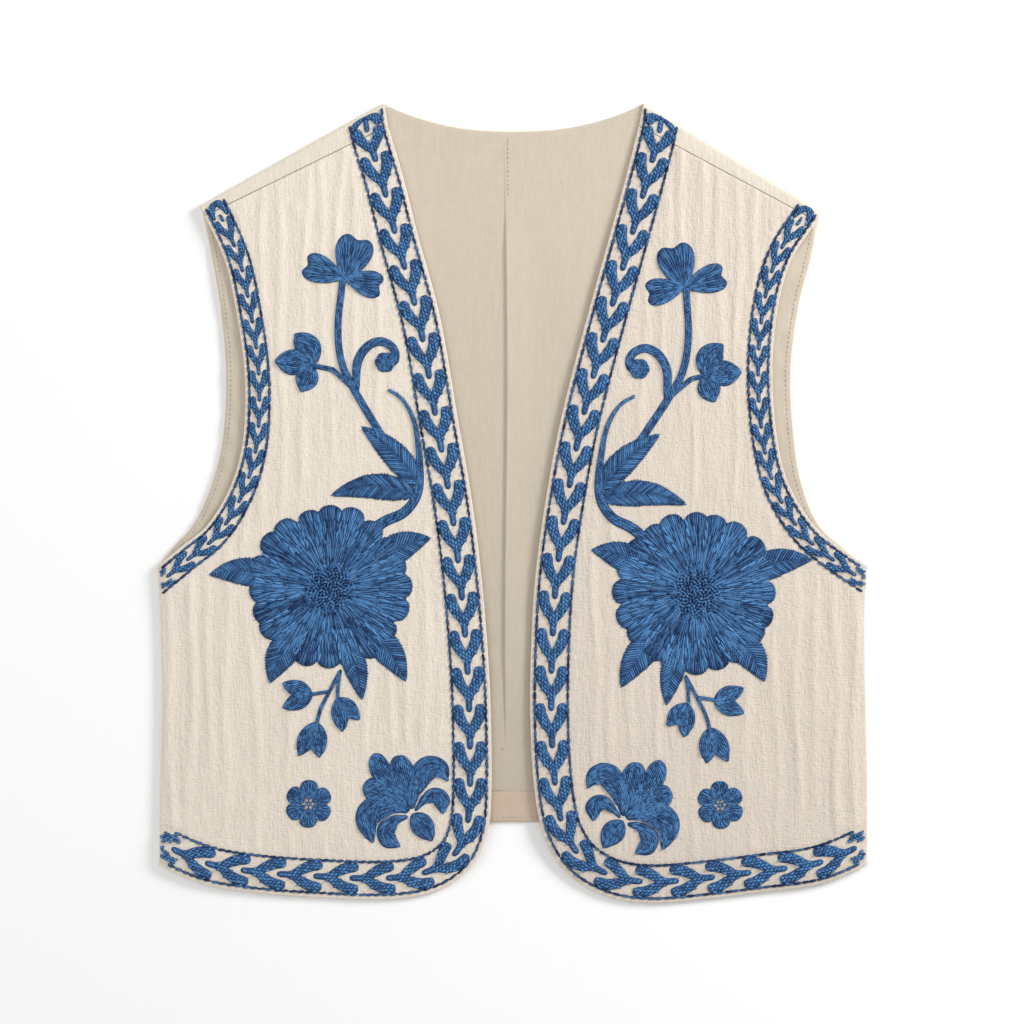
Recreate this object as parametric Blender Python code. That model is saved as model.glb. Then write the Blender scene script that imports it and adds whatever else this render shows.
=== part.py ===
"""Cropped waistcoat of crinkled cotton, embroidered in blue, lying on its back.

Units in the tables are millimetres. +X is the right of the picture, +Y runs to the neck and
+Z is up from the table. The origin is on the table, under the middle of the garment.
The back lies flat, its shoulders fold over the top and meet the fronts at a forward seam.
"""

import math
from collections import namedtuple

import bpy
from mathutils import Vector, geometry

# Driving dimensions
MM = 0.001
HALF_WIDTH = 251.5
SHELL_WALL = 1.4
FRONT_WALL = 1.6
LINING_WALL = 1.0
SEAM_GAP = 0.3
FRONT_REST = 4.2
FOLD_RADIUS = 2.15
FOLD_STEPS = 4
SIDE_ROLL = 16.0
BACK_RISE = 0.9
FRONT_DROP = 1.6
EDGE_LIFT = 0.9
EDGE_LIFT_REACH = 90.0
EDGE_LIFT_TOP = 260.0
EDGE_LIFT_FULL = 140.0
HEM_DROOP = 2.2
HEM_DROOP_REACH = 46.0
LINING_INSET = 1.0
FACING_DEPTH = 23.0
STITCH_GAP = 0.32
STITCH_DEPTH = 0.7
FLOWER_DOME = 0.6

# Grid spacings
FRONT_GRID = 21.0
BACK_GRID = 38.0
MOTIF_GRID = 18.0
OUTLINE_STEP = 15.0
CORNER_STEP = 8.0
SIDE_STEP = 26.0
FOLD_STEP = 22.0
CLEAR_SHARE = 0.55
ROW_CLEARANCE = 6.0
NORMAL_STEP = 0.25
NECK_PIECES = 14
STRIP_PIECES = 6
MERGE_DISTANCE = 0.002
SMOOTH_ANGLE = math.radians(40)

Section = namedtuple("Section", "height left right")
Hem = namedtuple("Hem", "left_across left_height right_across right_height")
Shoulder = namedtuple("Shoulder", "neck_across neck_height tip_across tip_height neck_strip tip_strip")
Fold = namedtuple("Fold", "start_across start_height end_across end_height half_width rise")
Place = namedtuple("Place", "across height turn")
Leaf = namedtuple("Leaf", "left_direction right_direction reach width bend")

# The armhole edge of the back, from the shoulder tip to the underarm
BACK_ARMHOLE = [
    Section(172.0, -213.0, 211.6),
    Section(138.0, -207.3, 203.1),
    Section(93.0, -203.4, 197.7),
    Section(47.0, -205.5, 199.9),
    Section(13.0, -213.4, 205.5),
    Section(-15.0, -226.1, 216.9),
    Section(-32.0, -241.0, 234.5),
]
# The armhole edge of the fronts, which lies inside the back's edge
FRONT_ARMHOLE = [
    Section(172.0, -204.1, 197.7),
    Section(138.0, -196.3, 187.8),
    Section(93.0, -189.9, 183.9),
    Section(47.0, -190.6, 187.1),
    Section(13.0, -199.2, 195.6),
    Section(-15.0, -215.5, 212.6),
    Section(-31.0, -234.5, 231.0),
]
UNDERARM = Section(-45.0, -HALF_WIDTH, HALF_WIDTH)
# The side folds, a little hollow at the waist
SIDE = [
    Section(-80.0, -249.2, 249.4),
    Section(-140.0, -248.0, 250.0),
    Section(-200.0, -249.4, 251.2),
]
SIDE_HEM = Section(-257.0, -250.4, 251.2)
# The front edges, from the neck to the start of the round corner
FRONT_EDGE = [
    Section(266.0, -88.4, 90.5),
    Section(229.0, -77.0, 79.6),
    Section(190.0, -67.2, 68.9),
    Section(130.0, -51.0, 52.2),
    Section(61.0, -39.0, 34.4),
    Section(2.0, -28.8, 23.2),
    Section(-55.0, -21.7, 15.6),
    Section(-117.0, -16.7, 12.4),
    Section(-165.0, -15.0, 12.6),
    Section(-204.0, -14.9, 15.3),
    Section(-230.0, -17.0, 20.0),
]
# The round corner and the hem of the fronts
FRONT_HEM = [
    Hem(-24.1, -251.0, 25.9, -244.5),
    Hem(-34.4, -263.5, 34.5, -258.0),
    Hem(-48.6, -273.0, 48.0, -270.0),
    Hem(-69.0, -279.3, 70.0, -280.2),
    Hem(-98.0, -281.4, 98.0, -284.0),
    Hem(-136.0, -280.0, 133.0, -281.5),
    Hem(-180.0, -276.8, 176.0, -276.2),
    Hem(-218.0, -270.5, 218.0, -270.2),
]
SHOULDERS = {
    -1: Shoulder(-89.8, 284.0, -222.0, 210.0, 15.8, 8.0),
    1: Shoulder(91.6, 284.0, 219.8, 206.0, 15.8, 8.0),
}
NECK_DEPTH = 18.0
NECK_FLATNESS = 2.3
BACK_HEM_MIDDLE = -227.0
BACK_HEM_SIDE = -257.0

# The largest soft folds of each front, clear of the embroidery
FRONT_FOLDS = {
    -1: [
        Fold(-236.0, -62.0, -231.0, -150.0, 9.0, -0.5),
        Fold(-205.0, -90.0, -214.0, -235.0, 13.0, 0.45),
        Fold(-172.0, 60.0, -166.0, 178.0, 12.0, 0.45),
        Fold(-112.0, 248.0, -126.0, 196.0, 10.0, -0.4),
        Fold(-78.0, -110.0, -66.0, -172.0, 11.0, 0.4),
        Fold(-190.0, -140.0, -186.0, -228.0, 10.0, -0.35),
    ],
    1: [
        Fold(232.0, -66.0, 236.0, -160.0, 9.0, -0.5),
        Fold(204.0, -104.0, 209.0, -230.0, 13.0, 0.45),
        Fold(164.0, 40.0, 156.0, 166.0, 12.0, 0.4),
        Fold(122.0, 236.0, 106.0, 186.0, 10.0, -0.35),
        Fold(66.0, -118.0, 60.0, -190.0, 11.0, 0.4),
        Fold(190.0, -132.0, 186.0, -212.0, 10.0, -0.35),
    ],
}
# The ease pleat down the middle of the lining
PLEAT_ACROSS = -5.3
PLEAT_TOP = 262.0
PLEAT_BOTTOM = -174.0
PLEAT_RISE = 0.9
PLEAT_STEP = 2.0
PLEAT_WIDTH = 16.0
PLEAT_PIECES = 14

# The borders: two rows of running stitch with chain-stitched chevrons between them
FRONT_BAND = 12.6
FRONT_BAND_INSET = 15.2
FRONT_PITCH = 25.9
ARM_BAND = 8.0
ARM_BAND_INSET = 10.2
ARM_PITCH = 19.2
RAIL_WIDTH = 1.5
BAND_FOLD_GAP = 2.0
BAND_SIDE_GAP = 3.5
HEM_RUN_OUT = 45.0
# A chevron's half outline: how far along the pitch, and how far out from the middle
CHEVRON_BACK = [(0.04, 1.0), (0.0, 0.70), (0.22, 0.32)]
CHEVRON_CROTCH = 0.52
CHEVRON_FRONT = [(0.80, 0.18), (0.48, 0.64), (0.20, 1.0)]
CHEVRON_TAIL_END = 1.19
CHEVRON_TAIL_HALF = 0.16
RAIL_HOOKS = (0.04, 0.20)
RAIL_BEND = math.radians(3.5)

# Rows of points that carry the folds and the droop of the hem, and their distance from corners
FOLD_ROWS = (-1.3, 0.0, 1.3)
DROOP_ROWS = (0.25, 0.55, 0.85)
SIDE_ROW_GAP = 11.0

# Where each motif stands on the left and on the right front
PLACES = {
    "flower": {-1: Place(-129.4, -60.2, 0.0), 1: Place(129.6, -63.5, 0.0)},
    "spray": {-1: Place(-94.1, -18.8, 0.0), 1: Place(87.5, -23.5, -3.0)},
    "sprig": {-1: Place(-121.8, -119.0, 0.0), 1: Place(122.6, -123.0, 0.0)},
    "small_flower": {-1: Place(-144.3, -213.2, 0.0), 1: Place(147.0, -214.0, 0.0)},
    "palmette": {-1: Place(-71.4, -219.0, 0.0), 1: Place(78.6, -224.0, 0.0)},
}
FLOWER_RADIUS = 57.0
FLOWER_SCALLOPS = 20
FLOWER_SCALLOP_DEPTH = 3.4
# Directions are in degrees in the left motif, which is mirrored on the right
FLOWER_LEAVES = [
    Leaf(174.0, 164.5, 86.0, 20.0, -5.0),
    Leaf(26.0, 22.0, 80.0, 21.0, 4.0),
    Leaf(238.0, 232.5, 80.0, 22.0, -4.0),
    Leaf(286.0, 284.5, 83.0, 17.0, 2.0),
    Leaf(309.0, 308.0, 86.0, 21.0, 4.0),
]
MAIN_STEM = [(4.0, 5.6), (17.8, 12.1), (27.0, 25.5), (28.4, 45.4), (24.9, 74.5), (16.4, 91.6), (6.1, 98.7)]
UPPER_STEM = [(2.0, 65.0), (-18.4, 99.4), (-27.2, 119.3), (-29.4, 144.1), (-26.0, 177.0)]
BUD_STEM = [(-19.9, 100.5), (-33.0, 112.9), (-55.0, 116.6)]
# How far the side bud is drawn in to its stem, to clear the armhole border
BUD_PULL = {-1: 0.0, 1: 5.5}
CURL = [(-16.6, 99.0), (-15.6, 117.8), (-8.5, 129.2), (1.4, 132.8), (10.0, 127.6), (10.9, 119.3),
        (5.0, 115.6)]
CURL_KNOB = (4.4, 119.6)
CURL_KNOB_RADIUS = 6.0
SPRAY_LEAVES = [
    ((28.6, 31.5), (-14.9, 73.1), 18.0, -2.0),
    ((27.6, 27.0), (-35.9, 23.6), 18.0, -6.0),
]
BLOSSOM_PETALS = [
    ((-24.6, 177.0), (-14.0, 210.5), 29.0, 0.0),
    ((-24.6, 177.0), (-56.4, 188.6), 21.5, -3.0),
    ((-24.6, 177.0), (3.6, 171.0), 21.5, 3.0),
]
BLOSSOM_ROOT = (-24.8, 177.6)
BUD_ROOT = (-51.8, 116.6)
PETAL_ROOT_RADIUS = 3.0
BUD_PETALS = [
    ((-52.0, 116.6), (-59.0, 138.0), 15.0, 0.0),
    ((-50.0, 116.6), (-75.6, 119.4), 16.0, 0.0),
    ((-52.0, 116.6), (-54.6, 97.0), 15.0, 0.0),
]
SPRIG_STEMS = [
    [(0.0, 0.0), (-7.8, -14.9), (-14.2, -27.7), (-17.4, -40.5)],
    [(-7.8, -14.9), (-14.0, -15.6), (-23.0, -17.4)],
    [(0.0, 0.0), (-1.6, -9.9), (-2.0, -23.0)],
]
SPRIG_PETALS = [
    ((-20.6, -17.1), (-41.1, -8.5), 11.0, 0.0),
    ((-20.6, -17.1), (-41.1, -26.3), 11.0, 0.0),
    ((-17.4, -37.6), (-29.8, -60.4), 12.0, 0.0),
    ((-17.4, -37.6), (-14.9, -61.8), 12.0, 0.0),
    ((-2.0, -20.6), (1.5, -43.3), 11.0, 0.0),
    ((-2.0, -20.6), (13.5, -34.8), 11.0, 0.0),
]
SMALL_FLOWER_RADIUS = 15.8
SMALL_FLOWER_LOBES = 5
SMALL_FLOWER_LOBE_DEPTH = 1.6
PALMETTE_ROOT = 3.2
PALMETTE_PETALS = [
    Leaf(183.0, 183.0, 41.0, 14.0, -3.0),
    Leaf(156.0, 156.0, 39.0, 16.0, 0.0),
    Leaf(124.0, 124.0, 51.0, 18.0, -2.0),
    Leaf(99.0, 99.0, 41.0, 15.0, 0.0),
    Leaf(73.0, 73.0, 43.0, 16.0, 2.0),
    Leaf(38.0, 38.0, 36.0, 15.0, 5.0),
    Leaf(221.0, 221.0, 35.0, 12.0, -5.0),
    Leaf(306.0, 306.0, 25.0, 11.0, 0.0),
]

# Surface colours, linear
CREAM = (0.75, 0.68, 0.57)
LINING_CREAM = (0.66, 0.58, 0.48)
FACING_CREAM = (0.56, 0.46, 0.37)
THREAD_BLUE = (0.045, 0.12, 0.30)


def clear_scene():
    for thing in list(bpy.data.objects):
        bpy.data.objects.remove(thing, do_unlink=True)


def cotton(name, colour, roughness):
    """A matt cloth or thread of one colour."""
    material = bpy.data.materials.new(name)
    material.use_nodes = True
    shader = material.node_tree.nodes["Principled BSDF"]
    shader.inputs["Base Color"].default_value = (*colour, 1.0)
    shader.inputs["Roughness"].default_value = roughness
    shader.inputs["Metallic"].default_value = 0.0
    return material


def smooth(points, step):
    """A smooth curve through the points, cut into pieces of about one step."""
    line = [Vector(p) for p in points]
    line = [line[0] * 2 - line[1]] + line + [line[-1] * 2 - line[-2]]
    out = [line[1].copy()]
    for before, a, b, after in zip(line, line[1:], line[2:], line[3:]):
        count = max(1, round((b - a).length / step))
        for k in range(1, count + 1):
            t = k / count
            bend = (b - before) * (t - 2 * t**2 + t**3) / 2 + (after - a) * (t**3 - t**2) / 2
            out.append(a * (1 - 3 * t**2 + 2 * t**3) + b * (3 * t**2 - 2 * t**3) + bend)
    return out


def along(rows, side):
    """The points of one side of a table of sections."""
    return [(row.left if side < 0 else row.right, row.height) for row in rows]


def along_hem(rows, side):
    if side < 0:
        return [(row.left_across, row.left_height) for row in rows]
    return [(row.right_across, row.right_height) for row in rows]


def side_roll(across):
    """0 inside the panel, 1 on the side fold."""
    return min(1.0, max(0.0, abs(across) - HALF_WIDTH + SIDE_ROLL) / SIDE_ROLL)


def shoulder_frame(side):
    """Where the shoulder fold starts, its direction to the tip, and its outward direction."""
    row = SHOULDERS[side]
    neck = Vector((row.neck_across, row.neck_height))
    tip = Vector((row.tip_across, row.tip_height))
    down = (tip - neck).normalized()
    out = Vector((down.y, -down.x))
    if out.y < 0:
        out = -out
    inset = FOLD_RADIUS + SHELL_WALL / 2
    return neck - out * inset, tip - out * inset, out


def back_height(across):
    return SHELL_WALL / 2 + BACK_RISE * side_roll(across) ** 2


def back_surface(point):
    """The middle of the back's wall: flat on the table, then over the shoulder fold."""
    side = -1 if point.x < 0 else 1
    start, _, out = shoulder_frame(side)
    past = (point - start).dot(out)
    if past <= 0:
        return Vector((point.x, point.y, back_height(point.x)))
    foot = point - out * past
    turn = min(past / FOLD_RADIUS, math.pi)
    reach = FOLD_RADIUS * math.sin(turn) - max(0.0, past - math.pi * FOLD_RADIUS)
    rise = FOLD_RADIUS * (1 - math.cos(turn))
    spot = foot + out * reach
    return Vector((spot.x, spot.y, SHELL_WALL / 2 + rise))


def fold_rise(point, folds):
    """The height that the soft folds add, fading at their ends and to their sides."""
    total = 0.0
    for fold in folds:
        start = Vector((fold.start_across, fold.start_height))
        end = Vector((fold.end_across, fold.end_height))
        run = end - start
        share = (point - start).dot(run) / run.length_squared
        if not 0 < share < 1:
            continue
        away = (point - start - run * share).length / fold.half_width
        if away < 2:
            total += fold.rise * math.sin(math.pi * share) ** 0.8 * math.cos(math.pi * away / 4) ** 2
    return total


def edge_across(height, side):
    """Where the front edge is at this height."""
    rows = FRONT_EDGE
    column = "left" if side < 0 else "right"
    if height >= rows[0].height:
        return getattr(rows[0], column)
    for upper, lower in zip(rows, rows[1:]):
        if height >= lower.height:
            share = (upper.height - height) / (upper.height - lower.height)
            return getattr(upper, column) * (1 - share) + getattr(lower, column) * share
    return getattr(rows[-1], column)


def hem_height(across):
    """The back's hem, which curves up to the middle."""
    return BACK_HEM_MIDDLE + (BACK_HEM_SIDE - BACK_HEM_MIDDLE) * (across / HALF_WIDTH) ** 2


def front_surface(point):
    """The middle of a front's wall: lifted at its edge, down at the side and past the back's hem."""
    side = -1 if point.x < 0 else 1
    inward = max(0.0, (point.x - edge_across(point.y, side)) * side)
    lift = EDGE_LIFT * max(0.0, 1 - inward / EDGE_LIFT_REACH) ** 2
    lift *= min(1.0, max(0.0, (EDGE_LIFT_TOP - point.y) / (EDGE_LIFT_TOP - EDGE_LIFT_FULL)))
    past_hem = min(1.0, max(0.0, hem_height(point.x) - point.y) / HEM_DROOP_REACH)
    drop = FRONT_DROP * side_roll(point.x) ** 2
    drop += HEM_DROOP * past_hem ** 2 * (3 - 2 * past_hem)
    rise = fold_rise(point, FRONT_FOLDS[side])
    return Vector((point.x, point.y, FRONT_REST + FRONT_WALL / 2 + lift + rise - drop))


def pleat_rise(point):
    """The ease pleat: a short step up, then a long slope down beside it."""
    if not PLEAT_BOTTOM < point.y < PLEAT_TOP:
        return 0.0
    away = point.x - PLEAT_ACROSS
    if away <= 0 or away >= PLEAT_WIDTH:
        return 0.0
    share = away / PLEAT_STEP if away < PLEAT_STEP else (PLEAT_WIDTH - away) / (PLEAT_WIDTH - PLEAT_STEP)
    length = (point.y - PLEAT_BOTTOM) / (PLEAT_TOP - PLEAT_BOTTOM)
    return PLEAT_RISE * share * min(1.0, 6 * length, 4 * (1 - length))


def lining_surface(point):
    rest = SHELL_WALL + SEAM_GAP + LINING_WALL / 2
    return Vector((point.x, point.y, rest + BACK_RISE * side_roll(point.x) ** 2 + pleat_rise(point)))


def moved_out(surface, point, offset):
    """A point of the surface, moved out along its normal."""
    right, away = Vector((NORMAL_STEP, 0)), Vector((0, NORMAL_STEP))
    here = surface(point)
    across = surface(point + right) - surface(point - right)
    up = surface(point + away) - surface(point - away)
    return here + across.cross(up).normalized() * offset


def inside(point, outline):
    """Whether the point is inside a closed outline."""
    hit = False
    for a, b in zip(outline, outline[1:] + outline[:1]):
        if (a.y > point.y) != (b.y > point.y):
            if point.x < a.x + (b.x - a.x) * (point.y - a.y) / (b.y - a.y):
                hit = not hit
    return hit


def distance_to(point, outline):
    best = math.inf
    for a, b in zip(outline, outline[1:] + outline[:1]):
        run = b - a
        share = min(1.0, max(0.0, (point - a).dot(run) / max(run.length_squared, 1e-9)))
        best = min(best, (point - a - run * share).length)
    return best


def anticlockwise(outline):
    area = sum(a.cross(b) for a, b in zip(outline, outline[1:] + outline[:1]))
    return list(outline) if area > 0 else list(reversed(outline))


def grid_points(outlines, spacing, rows):
    """Points on a triangular grid inside the outlines, clear of them and of the rows."""
    corners = [p for outline in outlines for p in outline]
    low = Vector((min(p.x for p in corners), min(p.y for p in corners)))
    high = Vector((max(p.x for p in corners), max(p.y for p in corners)))
    taken = [p for row in rows for p in row]
    rise = spacing * math.sqrt(3) / 2
    points = []
    for j in range(1, int((high.y - low.y) / rise) + 1):
        for i in range(int((high.x - low.x) / spacing) + 1):
            point = Vector((low.x + (i + 0.5 * (j % 2)) * spacing, low.y + j * rise))
            near = spacing * CLEAR_SHARE
            if not any(inside(point, outline) for outline in outlines):
                continue
            if min(distance_to(point, outline) for outline in outlines) < near:
                continue
            if all((point - other).length > near for other in taken):
                points.append(point)
    return points


def wall(name, outlines, surface, low, high, material, spacing=0.0, rows=(), dome=None):
    """A closed wall over the union of the outlines, between two offsets of a surface."""
    points, edges, faces = [], [], []
    outlines = [anticlockwise(outline) for outline in outlines]
    for outline in outlines:
        faces.append(list(range(len(points), len(points) + len(outline))))
        points += outline
    for row in rows:
        first = len(points)
        points += row
        edges += [(k, k + 1) for k in range(first, first + len(row) - 1)]
    if spacing:
        points += grid_points(outlines, spacing, rows)
    flat, _, triangles, _, _, origins = geometry.delaunay_2d_cdt(points, edges, faces, 0, MERGE_DISTANCE)
    kept = [tri for tri, origin in zip(triangles, origins) if origin]
    used = sorted({v for tri in kept for v in tri})
    index = {v: k for k, v in enumerate(used)}
    count = len(used)
    rises = [dome(flat[v]) if dome else 0.0 for v in used]
    top = [moved_out(surface, flat[v], high + rise) for v, rise in zip(used, rises)]
    under = [moved_out(surface, flat[v], low) for v in used]
    polygons, borders = [], {}
    for tri in kept:
        a, b, c = (index[v] for v in tri)
        turn = (flat[tri[1]] - flat[tri[0]]).cross(flat[tri[2]] - flat[tri[0]])
        if turn < 0:
            b, c = c, b
        polygons.append((a, b, c))
        polygons.append((a + count, c + count, b + count))
        for edge in ((a, b), (b, c), (c, a)):
            if edge[::-1] in borders:
                del borders[edge[::-1]]
            else:
                borders[edge] = True
    for a, b in borders:
        polygons.append((a, a + count, b + count, b))
    mesh = bpy.data.meshes.new(name)
    mesh.from_pydata([p * MM for p in top + under], [], polygons)
    mesh.materials.append(material)
    mesh.validate()
    mesh.update()
    piece = bpy.data.objects.new(name, mesh)
    bpy.context.scene.collection.objects.link(piece)
    mesh.shade_smooth()
    mesh.set_sharp_from_angle(angle=SMOOTH_ANGLE)
    return piece


def straight(a, b, count):
    return [a.lerp(b, k / count) for k in range(count + 1)]


def hem_line(half, lift, step):
    count = round(2 * half / step)
    line = [-half + 2 * half * k / count for k in range(count + 1)]
    return [Vector((across, hem_height(across) + lift)) for across in line]


def neck_line(inset):
    """The back neck, a flat-bottomed curve from one shoulder fold to the other."""
    left, right = shoulder_frame(-1)[0], shoulder_frame(1)[0]
    line = []
    for k in range(NECK_PIECES + 1):
        share = 2 * k / NECK_PIECES - 1
        across = (left.x + inset) * (1 - share) / 2 + (right.x - inset) * (1 + share) / 2
        height = left.y - inset - NECK_DEPTH * (1 - abs(share) ** NECK_FLATNESS)
        line.append(Vector((across, height)))
    return line


def shoulder_strip(side):
    """Rows of flat points over one shoulder fold, from the start of the fold to the seam."""
    row = SHOULDERS[side]
    neck, tip, out = shoulder_frame(side)
    inset = FOLD_RADIUS + SHELL_WALL / 2
    length = math.pi * FOLD_RADIUS
    neck_end = length + row.neck_strip - inset
    tip_end = length + row.tip_strip - inset
    strip = []
    for k in range(FOLD_STEPS + 1):
        past = out * (length * k / FOLD_STEPS)
        strip.append(straight(neck + past, tip + past, STRIP_PIECES))
    strip.append(straight(neck + out * neck_end, tip + out * tip_end, STRIP_PIECES))
    return strip


def back_shell(material):
    strips = {side: shoulder_strip(side) for side in (-1, 1)}
    arms = {}
    for side in (-1, 1):
        tip = strips[side][0][-1]
        points = [tip] + along(BACK_ARMHOLE + [UNDERARM], side)
        body = along([UNDERARM] + SIDE + [SIDE_HEM], side)
        arms[side] = smooth(points, OUTLINE_STEP)[1:] + smooth(body, OUTLINE_STEP * 2)[1:-1]
    outline = neck_line(0.0)
    outline += [row[0] for row in strips[1][1:]] + strips[1][-1][1:-1]
    outline += [row[-1] for row in reversed(strips[1])] + arms[1]
    outline += reversed(hem_line(HALF_WIDTH - 1.0, 0.0, OUTLINE_STEP * 2))
    outline += reversed(arms[-1])
    outline += [row[-1] for row in strips[-1]] + strips[-1][-1][-2:0:-1]
    outline += [row[0] for row in reversed(strips[-1][1:])]
    rows = [row[1:-1] for side in (-1, 1) for row in strips[side][:-1]]
    rows += side_rows((UNDERARM.height - SIDE_ROW_GAP, BACK_HEM_SIDE + SIDE_ROW_GAP), SIDE_STEP)
    wall("back_shell", [outline], back_surface, -SHELL_WALL / 2, SHELL_WALL / 2, material,
         BACK_GRID, rows)


def side_rows(span, step, sides=(-1, 1)):
    """Rows of points down the side rolls, so that the walls curve there."""
    rows = []
    count = round((span[0] - span[1]) / step)
    for side in sides:
        for inset in (SIDE_ROLL / 2, SIDE_ROLL):
            across = side * (HALF_WIDTH - inset)
            rows.append(straight(Vector((across, span[0])), Vector((across, span[1])), count))
    return rows


def back_lining(material):
    limit = HALF_WIDTH - SIDE_ROLL / 2
    bottom = FACING_DEPTH + SEAM_GAP
    outline = neck_line(LINING_INSET)
    for side in (1, -1):
        _, tip, out = shoulder_frame(side)
        start = tip - out * LINING_INSET - Vector((side * LINING_INSET, 0))
        edge = smooth([start] + along(BACK_ARMHOLE + [UNDERARM], side), OUTLINE_STEP)
        edge = [p - Vector((side * LINING_INSET, 0)) for p in edge if abs(p.x) < limit]
        low = Vector((side * limit, hem_height(limit) + bottom + SIDE_STEP))
        edge += straight(Vector((side * limit, UNDERARM.height - LINING_INSET)), low, STRIP_PIECES)
        if side > 0:
            outline += edge + list(reversed(hem_line(limit, bottom, OUTLINE_STEP * 2)))
        else:
            outline += reversed(edge)
    pleat = [PLEAT_ACROSS, PLEAT_ACROSS + PLEAT_STEP, PLEAT_ACROSS + PLEAT_WIDTH]
    top = PLEAT_TOP - ROW_CLEARANCE
    rows = [straight(Vector((x, top)), Vector((x, PLEAT_BOTTOM)), PLEAT_PIECES) for x in pleat]
    wall("back_lining", [outline], lining_surface, -LINING_WALL / 2, LINING_WALL / 2, material,
         BACK_GRID, rows)


def hem_facing(material):
    half = HALF_WIDTH - SIDE_ROLL / 2
    outline = hem_line(half, LINING_INSET, OUTLINE_STEP * 1.5)
    outline += reversed(hem_line(half, FACING_DEPTH, OUTLINE_STEP * 1.5))
    wall("back_hem_facing", [outline], lining_surface, -LINING_WALL / 2, LINING_WALL / 2, material)


def shoulder_seam(side, gap):
    """The forward seam, from the neck to the armhole, kept a gap inside the back's strip."""
    row = SHOULDERS[side]
    out = shoulder_frame(side)[2]
    neck = Vector((row.neck_across, row.neck_height)) - out * (row.neck_strip + gap)
    tip = Vector((row.tip_across, row.tip_height)) - out * (row.tip_strip + gap)
    return neck, tip


def front_edge_line(side, step, before=()):
    """The front edge and the hem in one curve, from the neck to the side."""
    neck, _ = shoulder_seam(side, SEAM_GAP)
    points = [*before, neck] + along(FRONT_EDGE[1:], side) + along_hem(FRONT_HEM, side)
    return smooth(points + along([SIDE_HEM], side), step)


def armhole_line(side, step, before=(), after=()):
    _, tip = shoulder_seam(side, SEAM_GAP)
    return smooth([*before, tip] + along(FRONT_ARMHOLE + [UNDERARM], side) + list(after), step)


def front_shell(name, side, material):
    neck, tip = shoulder_seam(side, SEAM_GAP)
    outline = straight(neck, tip, 8)[:-1]
    outline += armhole_line(side, OUTLINE_STEP)
    outline += smooth(along([UNDERARM] + SIDE + [SIDE_HEM], side), OUTLINE_STEP * 1.5)[1:-1]
    outline += reversed(front_edge_line(side, OUTLINE_STEP)[1:])
    span = (UNDERARM.height - SIDE_ROW_GAP, SIDE_HEM.height + ROW_CLEARANCE)
    rows = side_rows(span, SIDE_STEP, (side,))
    for share in DROOP_ROWS:
        line = hem_line(HALF_WIDTH, -HEM_DROOP_REACH * share, OUTLINE_STEP)
        line = [p for p in line if inside(p, outline) and distance_to(p, outline) > ROW_CLEARANCE]
        rows += [line] if len(line) > 1 else []
    for fold in FRONT_FOLDS[side]:
        start = Vector((fold.start_across, fold.start_height))
        end = Vector((fold.end_across, fold.end_height))
        out = (end - start).orthogonal().normalized()
        for shift in FOLD_ROWS:
            line = straight(start, end, max(3, round((end - start).length / FOLD_STEP)))[1:-1]
            line = [p + out * fold.half_width * shift for p in line]
            if all(abs(p.x) < HALF_WIDTH - SIDE_ROLL - ROW_CLEARANCE / 2 for p in line):
                rows.append(line)
    wall(name, [outline], front_surface, -FRONT_WALL / 2, FRONT_WALL / 2, material, FRONT_GRID, rows)


def measured(line):
    """A line with the distance along it of each point."""
    reach = [0.0]
    for a, b in zip(line, line[1:]):
        reach.append(reach[-1] + (b - a).length)
    return reach


def along_line(line, reach, distance):
    """The point and the direction at a distance along a line."""
    distance = min(max(distance, 0.0), reach[-1] - 1e-6)
    k = max(i for i, d in enumerate(reach) if d <= distance)
    k = min(k, len(line) - 2)
    span = line[k + 1] - line[k]
    share = (distance - reach[k]) / span.length
    before = line[max(k - 1, 0)]
    after = line[min(k + 2, len(line) - 1)]
    run = (line[k + 1] - before).normalized().lerp((after - line[k]).normalized(), share)
    return line[k] + span * share, run.normalized()


def chevron_parts():
    """One chevron as convex parts: two hooked arms of three parts, and the tail."""
    parts = []
    for way in (-1, 1):
        hook, shoulder, wrist = [(share, way * out) for share, out in CHEVRON_BACK]
        armpit, elbow, heel = [(share, way * out) for share, out in CHEVRON_FRONT]
        crotch = (CHEVRON_CROTCH, 0.0)
        parts += [[hook, shoulder, elbow, heel], [shoulder, wrist, elbow], [wrist, crotch, armpit, elbow]]
    root, half = CHEVRON_FRONT[0]
    tail = [(CHEVRON_CROTCH, 0.0), (root, half), (CHEVRON_TAIL_END, CHEVRON_TAIL_HALF)]
    return parts + [tail + [(share, -out) for share, out in reversed(tail[1:])]]


def cut_at_side(outline, widest):
    """A convex outline, cut off where it is wider than the garment's rolled side."""
    for way in (-1, 1):
        kept = []
        for a, b in zip(outline, outline[1:] + outline[:1]):
            over = [widest - way * p.x for p in (a, b)]
            if over[0] >= 0:
                kept.append(a)
            if over[0] * over[1] < 0:
                kept.append(a.lerp(b, over[0] / (over[0] - over[1])))
        outline = kept
    return outline if len(outline) > 2 else []


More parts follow.
